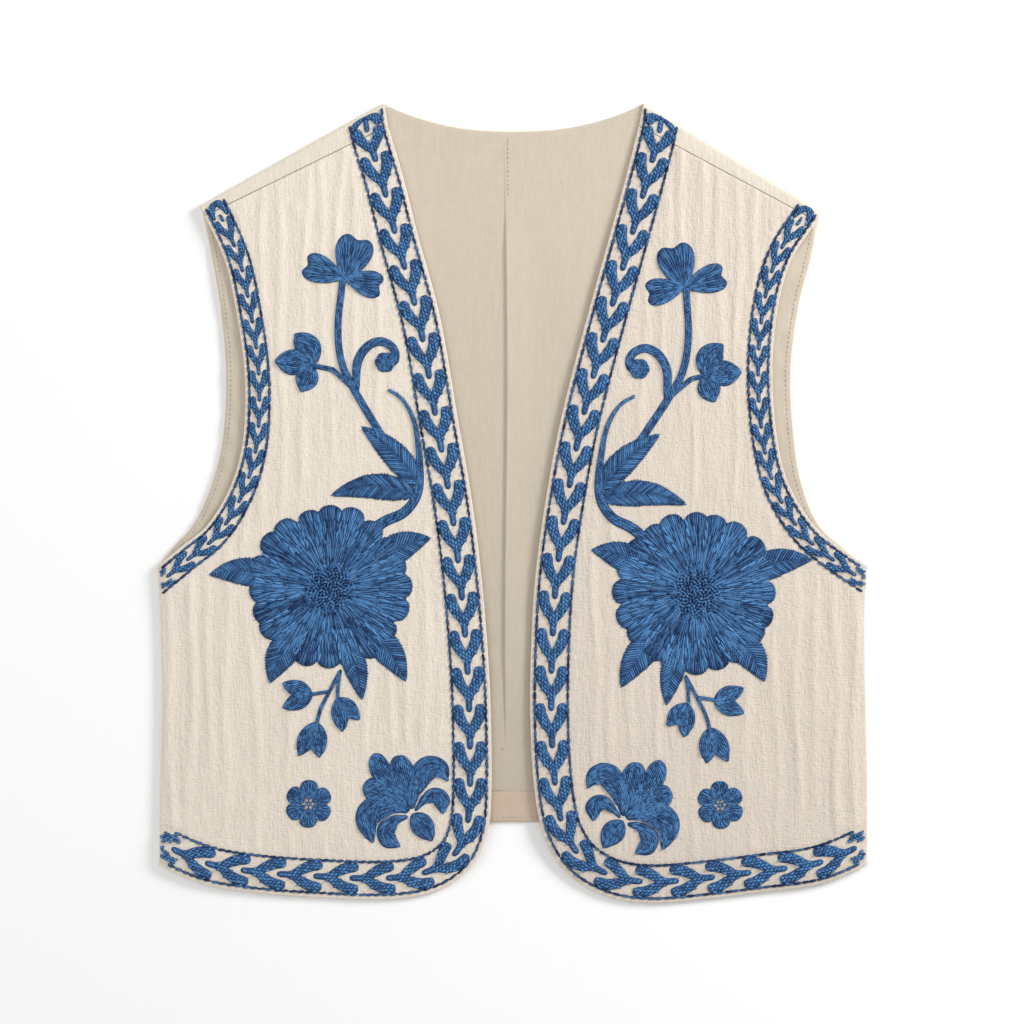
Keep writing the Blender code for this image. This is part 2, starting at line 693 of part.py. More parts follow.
def band_outlines(edge, hand, inset, half, pitch, first, end_gap, run_out):
    """The rails and chevrons of one border, on the left (1) or right (-1) hand of an edge.

    Distances run along the band's middle. The first whole chevron starts at the shoulder seam.
    Over its last stretch the border keeps its direction, so that it runs out square to the side.
    """
    rail = half - RAIL_WIDTH
    widest = HALF_WIDTH - BAND_SIDE_GAP

    def inward(line, distances, distance):
        _, run = along_line(line, distances, min(distance, distances[-1] - run_out))
        return Vector((-run.y, run.x)) * hand

    marks = measured(edge)
    middle = [point + inward(edge, marks, mark) * inset for point, mark in zip(edge, marks)]
    reach = measured(middle)
    limit = reach[-1] - end_gap

    def spot(distance, out):
        point, _ = along_line(middle, reach, min(distance, limit))
        return point - inward(middle, reach, distance) * out

    begins = [first + k * pitch for k in range(math.ceil((limit - first) / pitch))]
    stations = [0.0]
    for begin in begins:
        hooks = [begin + share * pitch for share in RAIL_HOOKS]
        ahead = hooks[0] + pitch
        runs = [along_line(middle, reach, s)[1] for s in (hooks[1], ahead)]
        if runs[0].angle(runs[1]) > RAIL_BEND:
            hooks.append((hooks[1] + ahead) / 2)
        stations += [s for s in hooks if 0 < s < limit]
    stations.append(limit)
    outlines = []
    for way in (-half, -rail), (rail, half):
        for a, b in zip(stations, stations[1:]):
            outlines.append([spot(a, way[0]), spot(b, way[0]), spot(b, way[1]), spot(a, way[1])])
    for begin in begins:
        hooks = [spot(begin + RAIL_HOOKS[1] * pitch, way * rail) for way in (-1, 1)]
        if begin + CHEVRON_CROTCH * pitch > limit or max(abs(p.x) for p in hooks) > widest:
            break
        for part in chevron_parts():
            outlines.append([spot(begin + share * pitch, out * rail) for share, out in part])
    outlines = [cut_at_side(outline, widest) for outline in outlines]
    return [outline for outline in outlines if outline]


def raised(name, outlines, material, spacing=MOTIF_GRID, dome=None):
    """Embroidery on a front: the front's points, moved out past its face."""
    low = FRONT_WALL / 2 + STITCH_GAP
    wall(name, outlines, front_surface, low, low + STITCH_DEPTH, material, spacing, dome=dome)


def leaf_outline(base, tip, width, bend, steps=4):
    """A leaf from base to tip, bowed to one side, widest before its middle."""
    base, tip = Vector(base), Vector(tip)
    run = tip - base
    out = Vector((-run.y, run.x)).normalized()
    left, right = [], []
    for k in range(steps + 1):
        share = k / steps
        middle = base + run * share + out * (bend * math.sin(math.pi * share))
        half = width / 2 * math.sin(math.pi * share ** 0.8) ** 0.8 if 0 < k < steps else 0.0
        left.append(middle + out * half)
        right.append(middle - out * half)
    return left + list(reversed(right[1:-1]))


def petal_outline(base, tip, width, bend, steps=4):
    """A petal from base to tip, broad and round towards its end."""
    base, tip = Vector(base), Vector(tip)
    run = tip - base
    out = Vector((-run.y, run.x)).normalized()
    left, right = [], []
    for k in range(steps + 1):
        share = k / steps
        middle = base + run * share + out * (bend * math.sin(math.pi * share))
        half = width / 2 * math.sin(math.pi * share ** 1.35) ** 0.75 if 0 < k < steps else 0.0
        left.append(middle + out * half)
        right.append(middle - out * half)
    return left + list(reversed(right[1:-1]))


def ribbon_outline(points, start_width, end_width, step):
    """A stem along a smooth curve, from one width to another."""
    line = smooth(points, step)
    left, right = [], []
    for k, point in enumerate(line):
        run = line[min(k + 1, len(line) - 1)] - line[max(k - 1, 0)]
        out = Vector((-run.y, run.x)).normalized()
        share = k / (len(line) - 1)
        half = (start_width * (1 - share) + end_width * share) / 2
        left.append(point + out * half)
        right.append(point - out * half)
    return left + list(reversed(right))


def round_outline(centre, radius, lobes, depth, count):
    """A round shape with a lobed edge."""
    outline = []
    for k in range(count):
        angle = 2 * math.pi * k / count
        reach = radius + depth * abs(math.cos(lobes * angle / 2))
        outline.append(Vector(centre) + Vector((math.cos(angle), math.sin(angle))) * reach)
    return outline


def fan_outlines(rows, side, base, shape):
    """Leaves or petals that start from a circle round the middle."""
    outlines = []
    for row in rows:
        angle = math.radians(row.left_direction if side < 0 else row.right_direction)
        way = Vector((math.cos(angle), math.sin(angle)))
        outlines.append(shape(way * base, way * row.reach, row.width, row.bend))
    return outlines


def placed(outlines, place, side):
    """The outlines of the left front's motif, mirrored on the right, at their place."""
    angle = math.radians(place.turn)
    out = []
    for outline in outlines:
        line = []
        for point in outline:
            across = point.x * -side
            line.append(Vector((
                place.across + across * math.cos(angle) - point.y * math.sin(angle),
                place.height + across * math.sin(angle) + point.y * math.cos(angle),
            )))
        out.append(line)
    return out


def flower_outlines(side):
    count = FLOWER_SCALLOPS * 3
    disc = round_outline((0, 0), FLOWER_RADIUS - FLOWER_SCALLOP_DEPTH, FLOWER_SCALLOPS,
                         FLOWER_SCALLOP_DEPTH * 1.6, count)
    return [disc] + fan_outlines(FLOWER_LEAVES, side, FLOWER_RADIUS * 0.62, leaf_outline)


def spray_outlines(side):
    pull = Vector((BUD_PULL[side], 0))
    bud = [petal_outline(*row) for row in BUD_PETALS]
    bud.append(round_outline(BUD_ROOT, PETAL_ROOT_RADIUS, 1, 0.0, 8))
    bud = [[p + pull for p in outline] for outline in bud]
    shapes = [
        ribbon_outline(MAIN_STEM, 6.0, 1.4, 13.0),
        ribbon_outline(UPPER_STEM, 5.4, 4.8, 18.0),
        ribbon_outline(BUD_STEM, 3.6, 3.8, 10.0),
        ribbon_outline(CURL, 4.8, 6.0, 8.0),
        round_outline(CURL_KNOB, CURL_KNOB_RADIUS, 1, 0.0, 9),
        round_outline(BLOSSOM_ROOT, PETAL_ROOT_RADIUS, 1, 0.0, 8),
    ]
    shapes += [leaf_outline(*row) for row in SPRAY_LEAVES]
    shapes += [petal_outline(*row) for row in BLOSSOM_PETALS]
    return shapes + bud


def sprig_outlines():
    shapes = [ribbon_outline(stem, 1.8, 1.8, 12.0) for stem in SPRIG_STEMS]
    return shapes + [leaf_outline(*row) for row in SPRIG_PETALS]


def palmette_outlines(side):
    root = round_outline((0, 0), PALMETTE_ROOT, 1, 0.0, 8)
    return [root] + fan_outlines(PALMETTE_PETALS, side, 0.0, petal_outline)


def flower_dome(place):
    """The big flower is thickest over its heart."""
    centre = Vector((place.across, place.height))

    def dome(point):
        away = (point - centre).length / FLOWER_RADIUS
        return FLOWER_DOME * max(0.0, 1 - away ** 2)

    return dome


def embroidery(side, word, material):
    row = SHOULDERS[side]
    inset = shoulder_frame(side)[2] * BAND_FOLD_GAP
    neck = Vector((row.neck_across, row.neck_height)) - inset
    tip = Vector((row.tip_across, row.tip_height)) - inset
    corner = Vector((UNDERARM.right * side, UNDERARM.height))
    past = corner + (corner - Vector(along(FRONT_ARMHOLE, side)[-1])) * 0.6
    edge = front_edge_line(side, CORNER_STEP, [neck])
    arm = armhole_line(side, CORNER_STEP, [tip], [past])
    bands = band_outlines(edge, side, FRONT_BAND_INSET, FRONT_BAND, FRONT_PITCH,
                          row.neck_strip - BAND_FOLD_GAP, BAND_SIDE_GAP, HEM_RUN_OUT)
    raised("border_front_" + word, bands, material, 0.0)
    bands = band_outlines(arm, -side, ARM_BAND_INSET, ARM_BAND, ARM_PITCH,
                          row.tip_strip - BAND_FOLD_GAP, 0.0, 0.0)
    raised("border_armhole_" + word, bands, material, 0.0)
    shapes = {
        "flower": flower_outlines(side),
        "spray": spray_outlines(side),
        "sprig": sprig_outlines(),
        "small_flower": [round_outline((0, 0), SMALL_FLOWER_RADIUS, SMALL_FLOWER_LOBES,
                                       SMALL_FLOWER_LOBE_DEPTH, SMALL_FLOWER_LOBES * 4)],
        "palmette": palmette_outlines(side),
    }
    for name, outlines in shapes.items():
        place = PLACES[name][side]
        dome = flower_dome(place) if name == "flower" else None
        raised(name + "_" + word, placed(outlines, place, side), material, dome=dome)


def main():
    clear_scene()
    shell = cotton("crinkled_cotton", CREAM, 0.92)
    lining = cotton("plain_cotton_lining", LINING_CREAM, 0.85)
    facing = cotton("plain_cotton_facing", FACING_CREAM, 0.88)
    thread = cotton("blue_cotton_thread", THREAD_BLUE, 0.6)
    back_shell(shell)
    back_lining(lining)
    hem_facing(facing)
    for side, word in ((-1, "left"), (1, "right")):
        front_shell("front_" + word, side, shell)
        embroidery(side, word, thread)


main()
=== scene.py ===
"""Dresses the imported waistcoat: crinkled cotton, plain lining, and blue thread laid stitch by stitch.

Shapes are worked out in millimetres on the same forms as the solids, then turned to metres.
+X is the right of the picture, +Y runs to the neck and +Z is up from the table.
"""

import functools
import math
from collections import namedtuple

import bpy
import numpy as np
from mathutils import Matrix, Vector, geometry


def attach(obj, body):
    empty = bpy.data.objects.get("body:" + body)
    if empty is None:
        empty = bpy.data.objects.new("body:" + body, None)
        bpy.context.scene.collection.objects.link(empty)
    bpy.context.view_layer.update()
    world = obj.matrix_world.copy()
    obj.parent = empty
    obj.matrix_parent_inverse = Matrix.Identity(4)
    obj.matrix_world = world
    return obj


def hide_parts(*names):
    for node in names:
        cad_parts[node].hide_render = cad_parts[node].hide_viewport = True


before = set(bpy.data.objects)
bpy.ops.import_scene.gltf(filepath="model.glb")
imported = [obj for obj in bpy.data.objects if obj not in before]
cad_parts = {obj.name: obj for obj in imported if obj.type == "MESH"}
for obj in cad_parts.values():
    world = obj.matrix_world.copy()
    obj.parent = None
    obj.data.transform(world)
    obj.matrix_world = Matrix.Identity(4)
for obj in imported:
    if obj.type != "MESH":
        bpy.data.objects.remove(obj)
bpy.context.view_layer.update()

bl_info = {
    "name": "Embroidered waistcoat",
    "version": (1, 0, 0),
    "blender": (4, 5, 0),
    "location": "3D View > Sidebar > Waistcoat",
    "description": "Builds the cloth, the lining and the blue embroidery of a waistcoat laid flat",
    "category": "Object",
}

MM = 0.001
# The viewer's left and right
SIDES = ((-1, "left"), (1, "right"))
# How far apart a panel's points are on its hidden underside
UNDER_SPACING = 8.0
# How many random cells the noise has each way before it repeats
NOISE_CELLS = 97

# Sizes shared with the solids
HALF_WIDTH = 251.5
SHELL_WALL = 1.4
FRONT_WALL = 1.6
LINING_WALL = 1.0
SEAM_GAP = 0.3
# How high the fronts' underside lies, and the radius of the back's roll over the shoulders
FRONT_REST = 4.2
FOLD_RADIUS = 2.15
# Within this reach of the side folds the back rises and the fronts drop to meet each other
SIDE_ROLL = 16.0
BACK_RISE = 0.9
FRONT_DROP = 1.6
# How high the fronts' inner edges stand up, how far in from the edge, and from which height down
EDGE_LIFT = 0.9
EDGE_LIFT_REACH = 90.0
EDGE_LIFT_TOP = 260.0
EDGE_LIFT_FULL = 140.0
# How low the fronts' hem hangs past the back's, and over which depth
HEM_DROOP = 2.2
HEM_DROOP_REACH = 46.0
LINING_INSET = 1.0
FACING_DEPTH = 23.0

Section = namedtuple("Section", "height left right")
Hem = namedtuple("Hem", "left_across left_height right_across right_height")
Shoulder = namedtuple("Shoulder", "neck_across neck_height tip_across tip_height neck_strip tip_strip")
Fold = namedtuple("Fold", "start_across start_height end_across end_height half_width rise")
Place = namedtuple("Place", "across height turn")
Leaf = namedtuple("Leaf", "left_direction right_direction reach width bend")
Ridge = namedtuple("Ridge", "across lean sway top bottom width rise")
Band = namedtuple("Band", "inset half pitch start run_out gap top")
Petal = namedtuple("Petal", "base tip width shape")
Ring = namedtuple("Ring", "turns lengths start depth lift rows")

BACK_ARMHOLE = [
    Section(172.0, -213.0, 211.6),
    Section(138.0, -207.3, 203.1),
    Section(93.0, -203.4, 197.7),
    Section(47.0, -205.5, 199.9),
    Section(13.0, -213.4, 205.5),
    Section(-15.0, -226.1, 216.9),
    Section(-32.0, -241.0, 234.5),
]
FRONT_ARMHOLE = [
    Section(172.0, -204.1, 197.7),
    Section(138.0, -196.3, 187.8),
    Section(93.0, -189.9, 183.9),
    Section(47.0, -190.6, 187.1),
    Section(13.0, -199.2, 195.6),
    Section(-15.0, -215.5, 212.6),
    Section(-31.0, -234.5, 231.0),
]
UNDERARM = Section(-45.0, -HALF_WIDTH, HALF_WIDTH)
SIDE = [
    Section(-80.0, -249.2, 249.4),
    Section(-140.0, -248.0, 250.0),
    Section(-200.0, -249.4, 251.2),
]
SIDE_HEM = Section(-257.0, -250.4, 251.2)
FRONT_EDGE = [
    Section(266.0, -88.4, 90.5),
    Section(229.0, -77.0, 79.6),
    Section(190.0, -67.2, 68.9),
    Section(130.0, -51.0, 52.2),
    Section(61.0, -39.0, 34.4),
    Section(2.0, -28.8, 23.2),
    Section(-55.0, -21.7, 15.6),
    Section(-117.0, -16.7, 12.4),
    Section(-165.0, -15.0, 12.6),
    Section(-204.0, -14.9, 15.3),
    Section(-230.0, -17.0, 20.0),
]
FRONT_HEM = [
    Hem(-24.1, -251.0, 25.9, -244.5),
    Hem(-34.4, -263.5, 34.5, -258.0),
    Hem(-48.6, -273.0, 48.0, -270.0),
    Hem(-69.0, -279.3, 70.0, -280.2),
    Hem(-98.0, -281.4, 98.0, -284.0),
    Hem(-136.0, -280.0, 133.0, -281.5),
    Hem(-180.0, -276.8, 176.0, -276.2),
    Hem(-218.0, -270.5, 218.0, -270.2),
]
SHOULDERS = {
    -1: Shoulder(-89.8, 284.0, -222.0, 210.0, 15.8, 8.0),
    1: Shoulder(91.6, 284.0, 219.8, 206.0, 15.8, 8.0),
}
# How far the neck end of the shoulder strip leans towards the shoulder's tip
NECK_LEAN = 7.0
# How deep the neckline is, how flat its middle, and how high the back's hem is in the middle and at
# the sides
NECK_DEPTH = 18.0
NECK_FLATNESS = 2.3
BACK_HEM_MIDDLE = -227.0
BACK_HEM_SIDE = -257.0
FRONT_FOLDS = {
    -1: [
        Fold(-236.0, -62.0, -231.0, -150.0, 9.0, -0.5),
        Fold(-205.0, -90.0, -214.0, -235.0, 13.0, 0.45),
        Fold(-172.0, 60.0, -166.0, 178.0, 12.0, 0.45),
        Fold(-112.0, 248.0, -126.0, 196.0, 10.0, -0.4),
        Fold(-78.0, -110.0, -66.0, -172.0, 11.0, 0.4),
        Fold(-190.0, -140.0, -186.0, -228.0, 10.0, -0.35),
    ],
    1: [
        Fold(232.0, -66.0, 236.0, -160.0, 9.0, -0.5),
        Fold(204.0, -104.0, 209.0, -230.0, 13.0, 0.45),
        Fold(164.0, 40.0, 156.0, 166.0, 12.0, 0.4),
        Fold(122.0, 236.0, 106.0, 186.0, 10.0, -0.35),
        Fold(66.0, -118.0, 60.0, -190.0, 11.0, 0.4),
        Fold(190.0, -132.0, 186.0, -212.0, 10.0, -0.35),
    ],
}
# The ease pleat in the lining: a crisp edge, one step wide, and a slope that runs out to its width
PLEAT_ACROSS = -5.3
PLEAT_TOP = 262.0
PLEAT_BOTTOM = -174.0
PLEAT_RISE = 1.5
PLEAT_STEP = 0.6
PLEAT_WIDTH = 18.0

# The soft upright crinkles of each front: sharp little ridges, uneven in spacing and length
RIDGES = {
    -1: [
        Ridge(-243.0, 2.0, 1.2, -52.0, -250.0, 2.6, 0.55),
        Ridge(-228.0, -3.0, 1.6, -58.0, -262.0, 3.0, 0.70),
        Ridge(-216.0, 3.0, 1.2, -20.0, -190.0, 2.4, 0.40),
        Ridge(-203.0, -2.0, 1.4, -40.0, -268.0, 2.8, 0.55),
        Ridge(-190.0, 2.0, 2.0, 190.0, -120.0, 2.2, 0.45),
        Ridge(-178.0, -2.0, 1.3, 212.0, -30.0, 2.8, 0.60),
        Ridge(-181.0, 3.0, 1.5, -110.0, -268.0, 2.6, 0.50),
        Ridge(-164.0, 3.0, 1.4, 208.0, -20.0, 2.4, 0.50),
        Ridge(-158.0, -4.0, 1.8, -120.0, -268.0, 2.4, 0.45),
        Ridge(-147.0, -3.0, 1.2, 226.0, 20.0, 2.8, 0.55),
        Ridge(-135.0, 4.0, 1.6, 234.0, 110.0, 2.4, 0.50),
        Ridge(-129.0, -2.0, 1.4, 100.0, -10.0, 2.2, 0.40),
        Ridge(-122.0, -4.0, 1.8, 252.0, 180.0, 2.6, 0.60),
        Ridge(-133.0, 3.0, 1.4, -190.0, -255.0, 2.4, 0.45),
        Ridge(-112.0, 2.0, 1.3, 246.0, 70.0, 2.4, 0.45),
        Ridge(-104.0, -3.0, 1.4, -120.0, -252.0, 2.6, 0.50),
        Ridge(-96.0, 3.0, 1.6, 190.0, 60.0, 2.4, 0.45),
        Ridge(-86.0, -3.0, 1.2, -60.0, -190.0, 2.6, 0.55),
        Ridge(-75.0, 3.0, 1.4, -20.0, -200.0, 2.4, 0.50),
        Ridge(-62.0, -2.0, 1.4, -30.0, -240.0, 2.6, 0.55),
    ],
    1: [
        Ridge(242.0, -2.0, 1.2, -52.0, -250.0, 2.6, 0.55),
        Ridge(229.0, 3.0, 1.6, -50.0, -262.0, 3.0, 0.65),
        Ridge(214.0, -2.0, 1.2, -34.0, -190.0, 2.4, 0.40),
        Ridge(201.0, 3.0, 1.6, -40.0, -262.0, 2.6, 0.50),
        Ridge(184.0, -3.0, 1.5, 190.0, -120.0, 2.4, 0.45),
        Ridge(172.0, 2.0, 1.3, 212.0, 20.0, 2.8, 0.60),
        Ridge(187.0, 3.0, 1.5, -110.0, -265.0, 2.4, 0.45),
        Ridge(158.0, -3.0, 1.4, 214.0, -10.0, 2.4, 0.50),
        Ridge(166.0, 3.0, 1.8, -120.0, -265.0, 2.6, 0.50),
        Ridge(146.0, 3.0, 1.2, 226.0, 80.0, 2.8, 0.55),
        Ridge(133.0, -4.0, 1.6, 238.0, 120.0, 2.4, 0.50),
        Ridge(127.0, 2.0, 1.4, 110.0, 0.0, 2.2, 0.40),
        Ridge(119.0, 3.0, 1.8, 250.0, 190.0, 2.6, 0.60),
        Ridge(131.0, -3.0, 1.4, -180.0, -250.0, 2.4, 0.45),
        Ridge(108.0, -2.0, 1.3, 246.0, 100.0, 2.4, 0.45),
        Ridge(103.0, 3.0, 1.4, -120.0, -250.0, 2.6, 0.45),
        Ridge(93.0, -3.0, 1.6, 180.0, 60.0, 2.4, 0.45),
        Ridge(82.0, 3.0, 1.2, -70.0, -190.0, 2.6, 0.55),
        Ridge(70.0, -3.0, 1.4, -20.0, -200.0, 2.4, 0.50),
        Ridge(58.0, 2.0, 1.4, -40.0, -240.0, 2.6, 0.55),
    ],
}

# How strongly the crinkles stand up
RIDGE_GAIN = 2.0

# The borders: how far the middle is from the cloth's edge, half the width, the chevrons' spacing, where
# the first one starts past the shoulder seam, how much of the end keeps one direction, how wide a
# plaited stitch is, and how late, in pitches, the shortened first chevron starts
FRONT_BAND = Band(15.2, 12.6, 26.4, -3.5, 45.0, 2.1, 0.24)
ARM_BAND = Band(10.2, 8.0, 18.5, 8.5, 0.0, 1.8, 0.0)
BAND_FOLD_GAP = 2.0
# From this chevron on, past the corner, each stands this much closer to the last.
HEM_TURN = 17
HEM_GATHER = 0.65
# How far a border's edge line runs on past the shoulder's fold, where nothing is sewn
OVERRUN = 14.0
# Where sewing on a front stops: this far from the middle, and this far short of the shoulder's fold
SIDE_LIMIT = 250.4
FOLD_LIMIT = 1.6
# Half a chevron's outline, from its crotch round its hooked arm to its tail's end: along in
# pitches and out in half widths
CHEVRON = [
    (0.53, 0.0), (0.43, 0.12), (0.33, 0.21), (0.22, 0.31), (0.12, 0.34), (0.03, 0.42), (-0.03, 0.58),
    (-0.04, 0.76), (0.01, 0.93), (0.10, 1.0), (0.24, 1.0), (0.36, 0.93), (0.48, 0.80), (0.60, 0.63),
    (0.71, 0.42), (0.81, 0.26), (0.93, 0.21), (1.08, 0.20), (1.16, 0.14), (1.19, 0.0),
]
# Half of the arch above the seam, which is the lower end of the back's last chevron, cut off by the
# shoulder's fold: along in shares of the room up to the fold
ARCH = [
    (-0.66, 0.0), (-0.62, 0.12), (-0.50, 0.28), (-0.30, 0.46), (-0.14, 0.56), (-0.06, 0.74), (-0.16, 0.92),
    (-0.42, 0.97), (-0.68, 0.88), (-0.86, 0.66), (-0.93, 0.36), (-0.94, 0.0),
]
ARCH_TAIL = [(-0.30, 0.0), (-0.27, 0.14), (-0.12, 0.17), (0.06, 0.17), (0.12, 0.0)]

PLACES = {
    "flower": {-1: Place(-129.4, -60.2, 0.0), 1: Place(129.6, -63.5, 0.0)},
    "spray": {-1: Place(-94.1, -18.8, 0.0), 1: Place(87.5, -23.5, -3.0)},
    "sprig": {-1: Place(-121.8, -119.0, 0.0), 1: Place(122.6, -123.0, 0.0)},
    "small_flower": {-1: Place(-144.3, -213.2, 0.0), 1: Place(147.0, -214.0, 0.0)},
    "palmette": {-1: Place(-71.4, -219.0, 0.0), 1: Place(78.6, -224.0, 0.0)},
}
# The big flower: its radius and outer petals, its inner petals and their reach, and its heart
FLOWER_RADIUS = 57.0
FLOWER_SCALLOPS = 20
FLOWER_INNER = 14
FLOWER_INNER_RADIUS = 33.0
HEART_SEEDS = 190
HEART_RADIUS = 18.0
# The lining's seams: how far apart their stitches start, how long and wide they are, and their tone
SEAM_PITCH = 3.4
PLEAT_SEAM_PITCH = 3.2
SEAM_STITCH = 2.4
SEAM_THREAD = 0.7
SEAM_TONE = 0.6
FLOWER_LEAVES = [
    Leaf(174.0, 164.5, 86.0, 21.0, -5.0),
    Leaf(26.0, 22.0, 80.0, 22.0, 4.0),
    Leaf(238.0, 232.5, 80.0, 23.0, -4.0),
    Leaf(286.0, 284.5, 83.0, 18.0, 2.0),
    Leaf(309.0, 308.0, 86.0, 22.0, 4.0),
]
MAIN_STEM = [(4.0, 5.6), (17.8, 12.1), (27.0, 25.5), (28.4, 45.4), (24.9, 74.5), (16.4, 91.6), (6.1, 98.7)]
UPPER_STEM = [(2.0, 65.0), (-18.4, 99.4), (-27.2, 119.3), (-29.4, 144.1), (-26.0, 177.0)]
BUD_STEM = [(-19.9, 100.5), (-33.0, 112.9), (-52.0, 116.6)]
BUD_PULL = {-1: 0.0, 1: 5.5}
CURL = [(-16.6, 99.0), (-15.6, 117.8), (-8.5, 129.2), (1.4, 132.8), (10.0, 127.6), (10.9, 119.3),
        (5.0, 116.6)]
SPRIG_STEMS = [
    [(0.0, 0.0), (-7.8, -14.9), (-14.2, -27.7), (-17.4, -40.5)],
    [(-7.8, -14.9), (-14.0, -15.6), (-23.0, -17.4)],
    [(0.0, 0.0), (-1.6, -9.9), (-2.0, -23.0)],
]
SPRIG_PETALS = [
    ((-19.6, -17.1), (-41.1, -8.5), 12.5, 0.0),
    ((-19.6, -17.1), (-41.1, -26.3), 12.5, 0.0),
    ((-17.0, -36.0), (-29.8, -60.4), 13.5, 0.0),
    ((-17.0, -36.0), (-14.9, -61.8), 13.5, 0.0),
    ((-2.0, -19.0), (1.5, -43.3), 12.5, 0.0),
    ((-2.0, -19.0), (13.5, -34.8), 12.5, 0.0),
]

# The spray's own petals and leaves: their last value is a leaf's bend or a clover petal's notch
SPRAY_LEAVES = [
    Petal((28.6, 30.0), (-13.5, 73.1), 19.0, -3.0),
    Petal((27.6, 24.0), (-34.9, 23.6), 19.0, -6.5),
]
CLOVER_PETALS = [
    Petal((-25.2, 175.0), (-14.4, 207.4), 29.5, 0.12),
    Petal((-24.0, 177.0), (-53.4, 188.0), 21.0, 0.13),
    Petal((-25.5, 178.0), (2.2, 171.0), 20.0, 0.13),
]
BUD_PETALS = [
    Petal((-47.0, 115.0), (-60.0, 138.4), 19.0, -3.0),
    Petal((-49.0, 116.6), (-74.0, 119.4), 18.5, 0.0),
    Petal((-48.0, 117.0), (-55.8, 97.0), 16.5, 0.5),
]
CURL_END = (4.0, 118.0)
# The palmette's petals: the line of each from its root to its rim, and its widths along that line
PALMETTE = [
    ([(-1.2, 1.4), (-11.7, 14.6), (-21.6, 28.9), (-26.0, 41.8)], [3, 11, 15.5, 15, 11]),
    ([(-0.6, 2.0), (-3.9, 18.2), (-7.5, 33.0), (-6.7, 40.4)], [3, 9, 15, 16.5, 13]),
    ([(-1.5, 0.9), (-15.3, 9.8), (-27.2, 15.8), (-34.7, 17.2)], [3, 12, 17.5, 18, 14]),
    ([(-2.0, 0.2), (-12.8, 4.3), (-24.5, 3.2), (-31.5, -4.7), (-30.0, -14.5), (-27.1, -22.0)],
     [3, 10.5, 18.5, 19, 12, 4]),
    ([(0.3, 2.0), (1.6, 13.5), (5.6, 24.4), (12.8, 31.8), (20.5, 30.3), (25.8, 21.6)],
     [3, 8.5, 15.5, 17.5, 13, 3]),
    ([(2.2, 0.6), (7.2, 6.6), (14.0, 11.8), (20.6, 9.8), (21.8, -1.4)], [2, 5, 10.5, 12.5, 3]),
    ([(-2.4, -3.2), (-12.0, -5.9), (-18.0, -12.4), (-16.8, -19.3), (-8.0, -24.6)], [2.5, 7, 13, 12.5, 3]),
]
PALMETTE_DROP = Petal((0.0, -1.2), (14.6, -20.8), 16.5, 1.0)

# The thread of the flowers and leaves: how thick a stitch is, and how far apart they lie
STRAND = 1.62
STRAND_GAP = 1.5
# How light the thread is drawn, from 0 dark to 1 light, which sets the strength of each stitch's painted
# highlight: at the padding, in plain stitches, in stems, in the rows that edge the borders, in the plait, at
# the flower's notches, and how much it wanders at random. The padding's low tone is painted shade in
# the gaps between stitches and round the motifs' edges; the notches' high tone is a painted highlight.
PAD_TONE = 0.30
PLAIN_TONE = 0.5
STEM_TONE = 0.48
RAIL_TONE = 0.36
PLAIT_TONE = 0.62
NOTCH_TONE = 0.82
TONE_SPREAD = 0.17

# Surface colours, sRGB
# The fronts are one cloth: the right one's cream is the left's drawn darker, painted shade.
LEFT_CREAM = "ede2d3"
SHADED_RIGHT_CREAM = "e2d6c8"
BACK_CREAM = "e8dece"
LINING_CREAM = "d1c5b3"
FACING_CREAM = "c8b4a1"
# The thread is drawn between a dark and a light blue: the light end is its painted highlight and the dark end
# its painted shade; the sewing thread's cream and shade likewise.
THREAD_LIGHT = "64a2df"
THREAD_DARK = "0a2150"
SEWING_CREAM = "efe8dc"
SEWING_SHADE = "b7a896"
PAPER_WHITE = "ffffff"

# The stage: the room's light, the camera's lens and sensor in millimetres, and where it stands, in metres
SKY_STRENGTH = 0.49
LENS = 85.0
SENSOR = 36.0
CAMERA_SPOT = (-0.0004, -0.0067)


def linear(code):
    """An sRGB hex colour as linear values with full alpha."""
    values = [int(code[k:k + 2], 16) / 255 for k in (0, 2, 4)]
    return (*(v / 12.92 if v <= 0.04045 else ((v + 0.055) / 1.055) ** 2.4 for v in values), 1.0)


def node(tree, kind, links=None, **settings):
    """Adds a node: settings are its own, and links gives its inputs values or other nodes' outputs."""
    made = tree.nodes.new(kind)
    for name, value in settings.items():
        setattr(made, name, value)
    feed(tree, made, links or {})
    return made


def feed(tree, target, links):
    for key, value in links.items():
        if isinstance(value, bpy.types.NodeSocket):
            tree.links.new(value, target.inputs[key])
        else:
            target.inputs[key].default_value = value


def maths(tree, operation, *values):
    """One sum on numbers or outputs."""
    return node(tree, "ShaderNodeMath", dict(enumerate(values)), operation=operation).outputs[0]


def ranged(tree, value, low, high, start=0.0, end=1.0):
    """A value moved from one range to another, and held within it."""
    return node(tree, "ShaderNodeMapRange", {
        "Value": value, "From Min": low, "From Max": high, "To Min": start, "To Max": end,
    }).outputs["Result"]


def blended(tree, factor, a, b):
    """The colour between a and b at this factor."""
    return node(tree, "ShaderNodeMix", {"Factor": factor, "A": a, "B": b}, data_type="RGBA").outputs["Result"]


def linked(name, data):
    """A new object in the scene, at the origin."""
    made = bpy.data.objects.new(name, data)
    bpy.context.scene.collection.objects.link(made)
    return made


def new_material(name):
    material = bpy.data.materials.new(name)
    material.use_nodes = True
    return material, material.node_tree, material.node_tree.nodes["Principled BSDF"]


def grain(tree, across, up, detail):
    """Noise on object coordinates, with grains of these sizes in millimetres."""
    place = node(tree, "ShaderNodeTexCoord")
    scaled = node(tree, "ShaderNodeMapping", {
        "Vector": place.outputs["Object"],
        "Scale": (1 / (across * MM), 1 / (up * MM), 1 / (20 * MM)),
    })
    return node(tree, "ShaderNodeTexNoise", {
        "Vector": scaled.outputs[0], "Scale": 1.0, "Detail": detail, "Roughness": 0.55,
    }).outputs["Fac"]


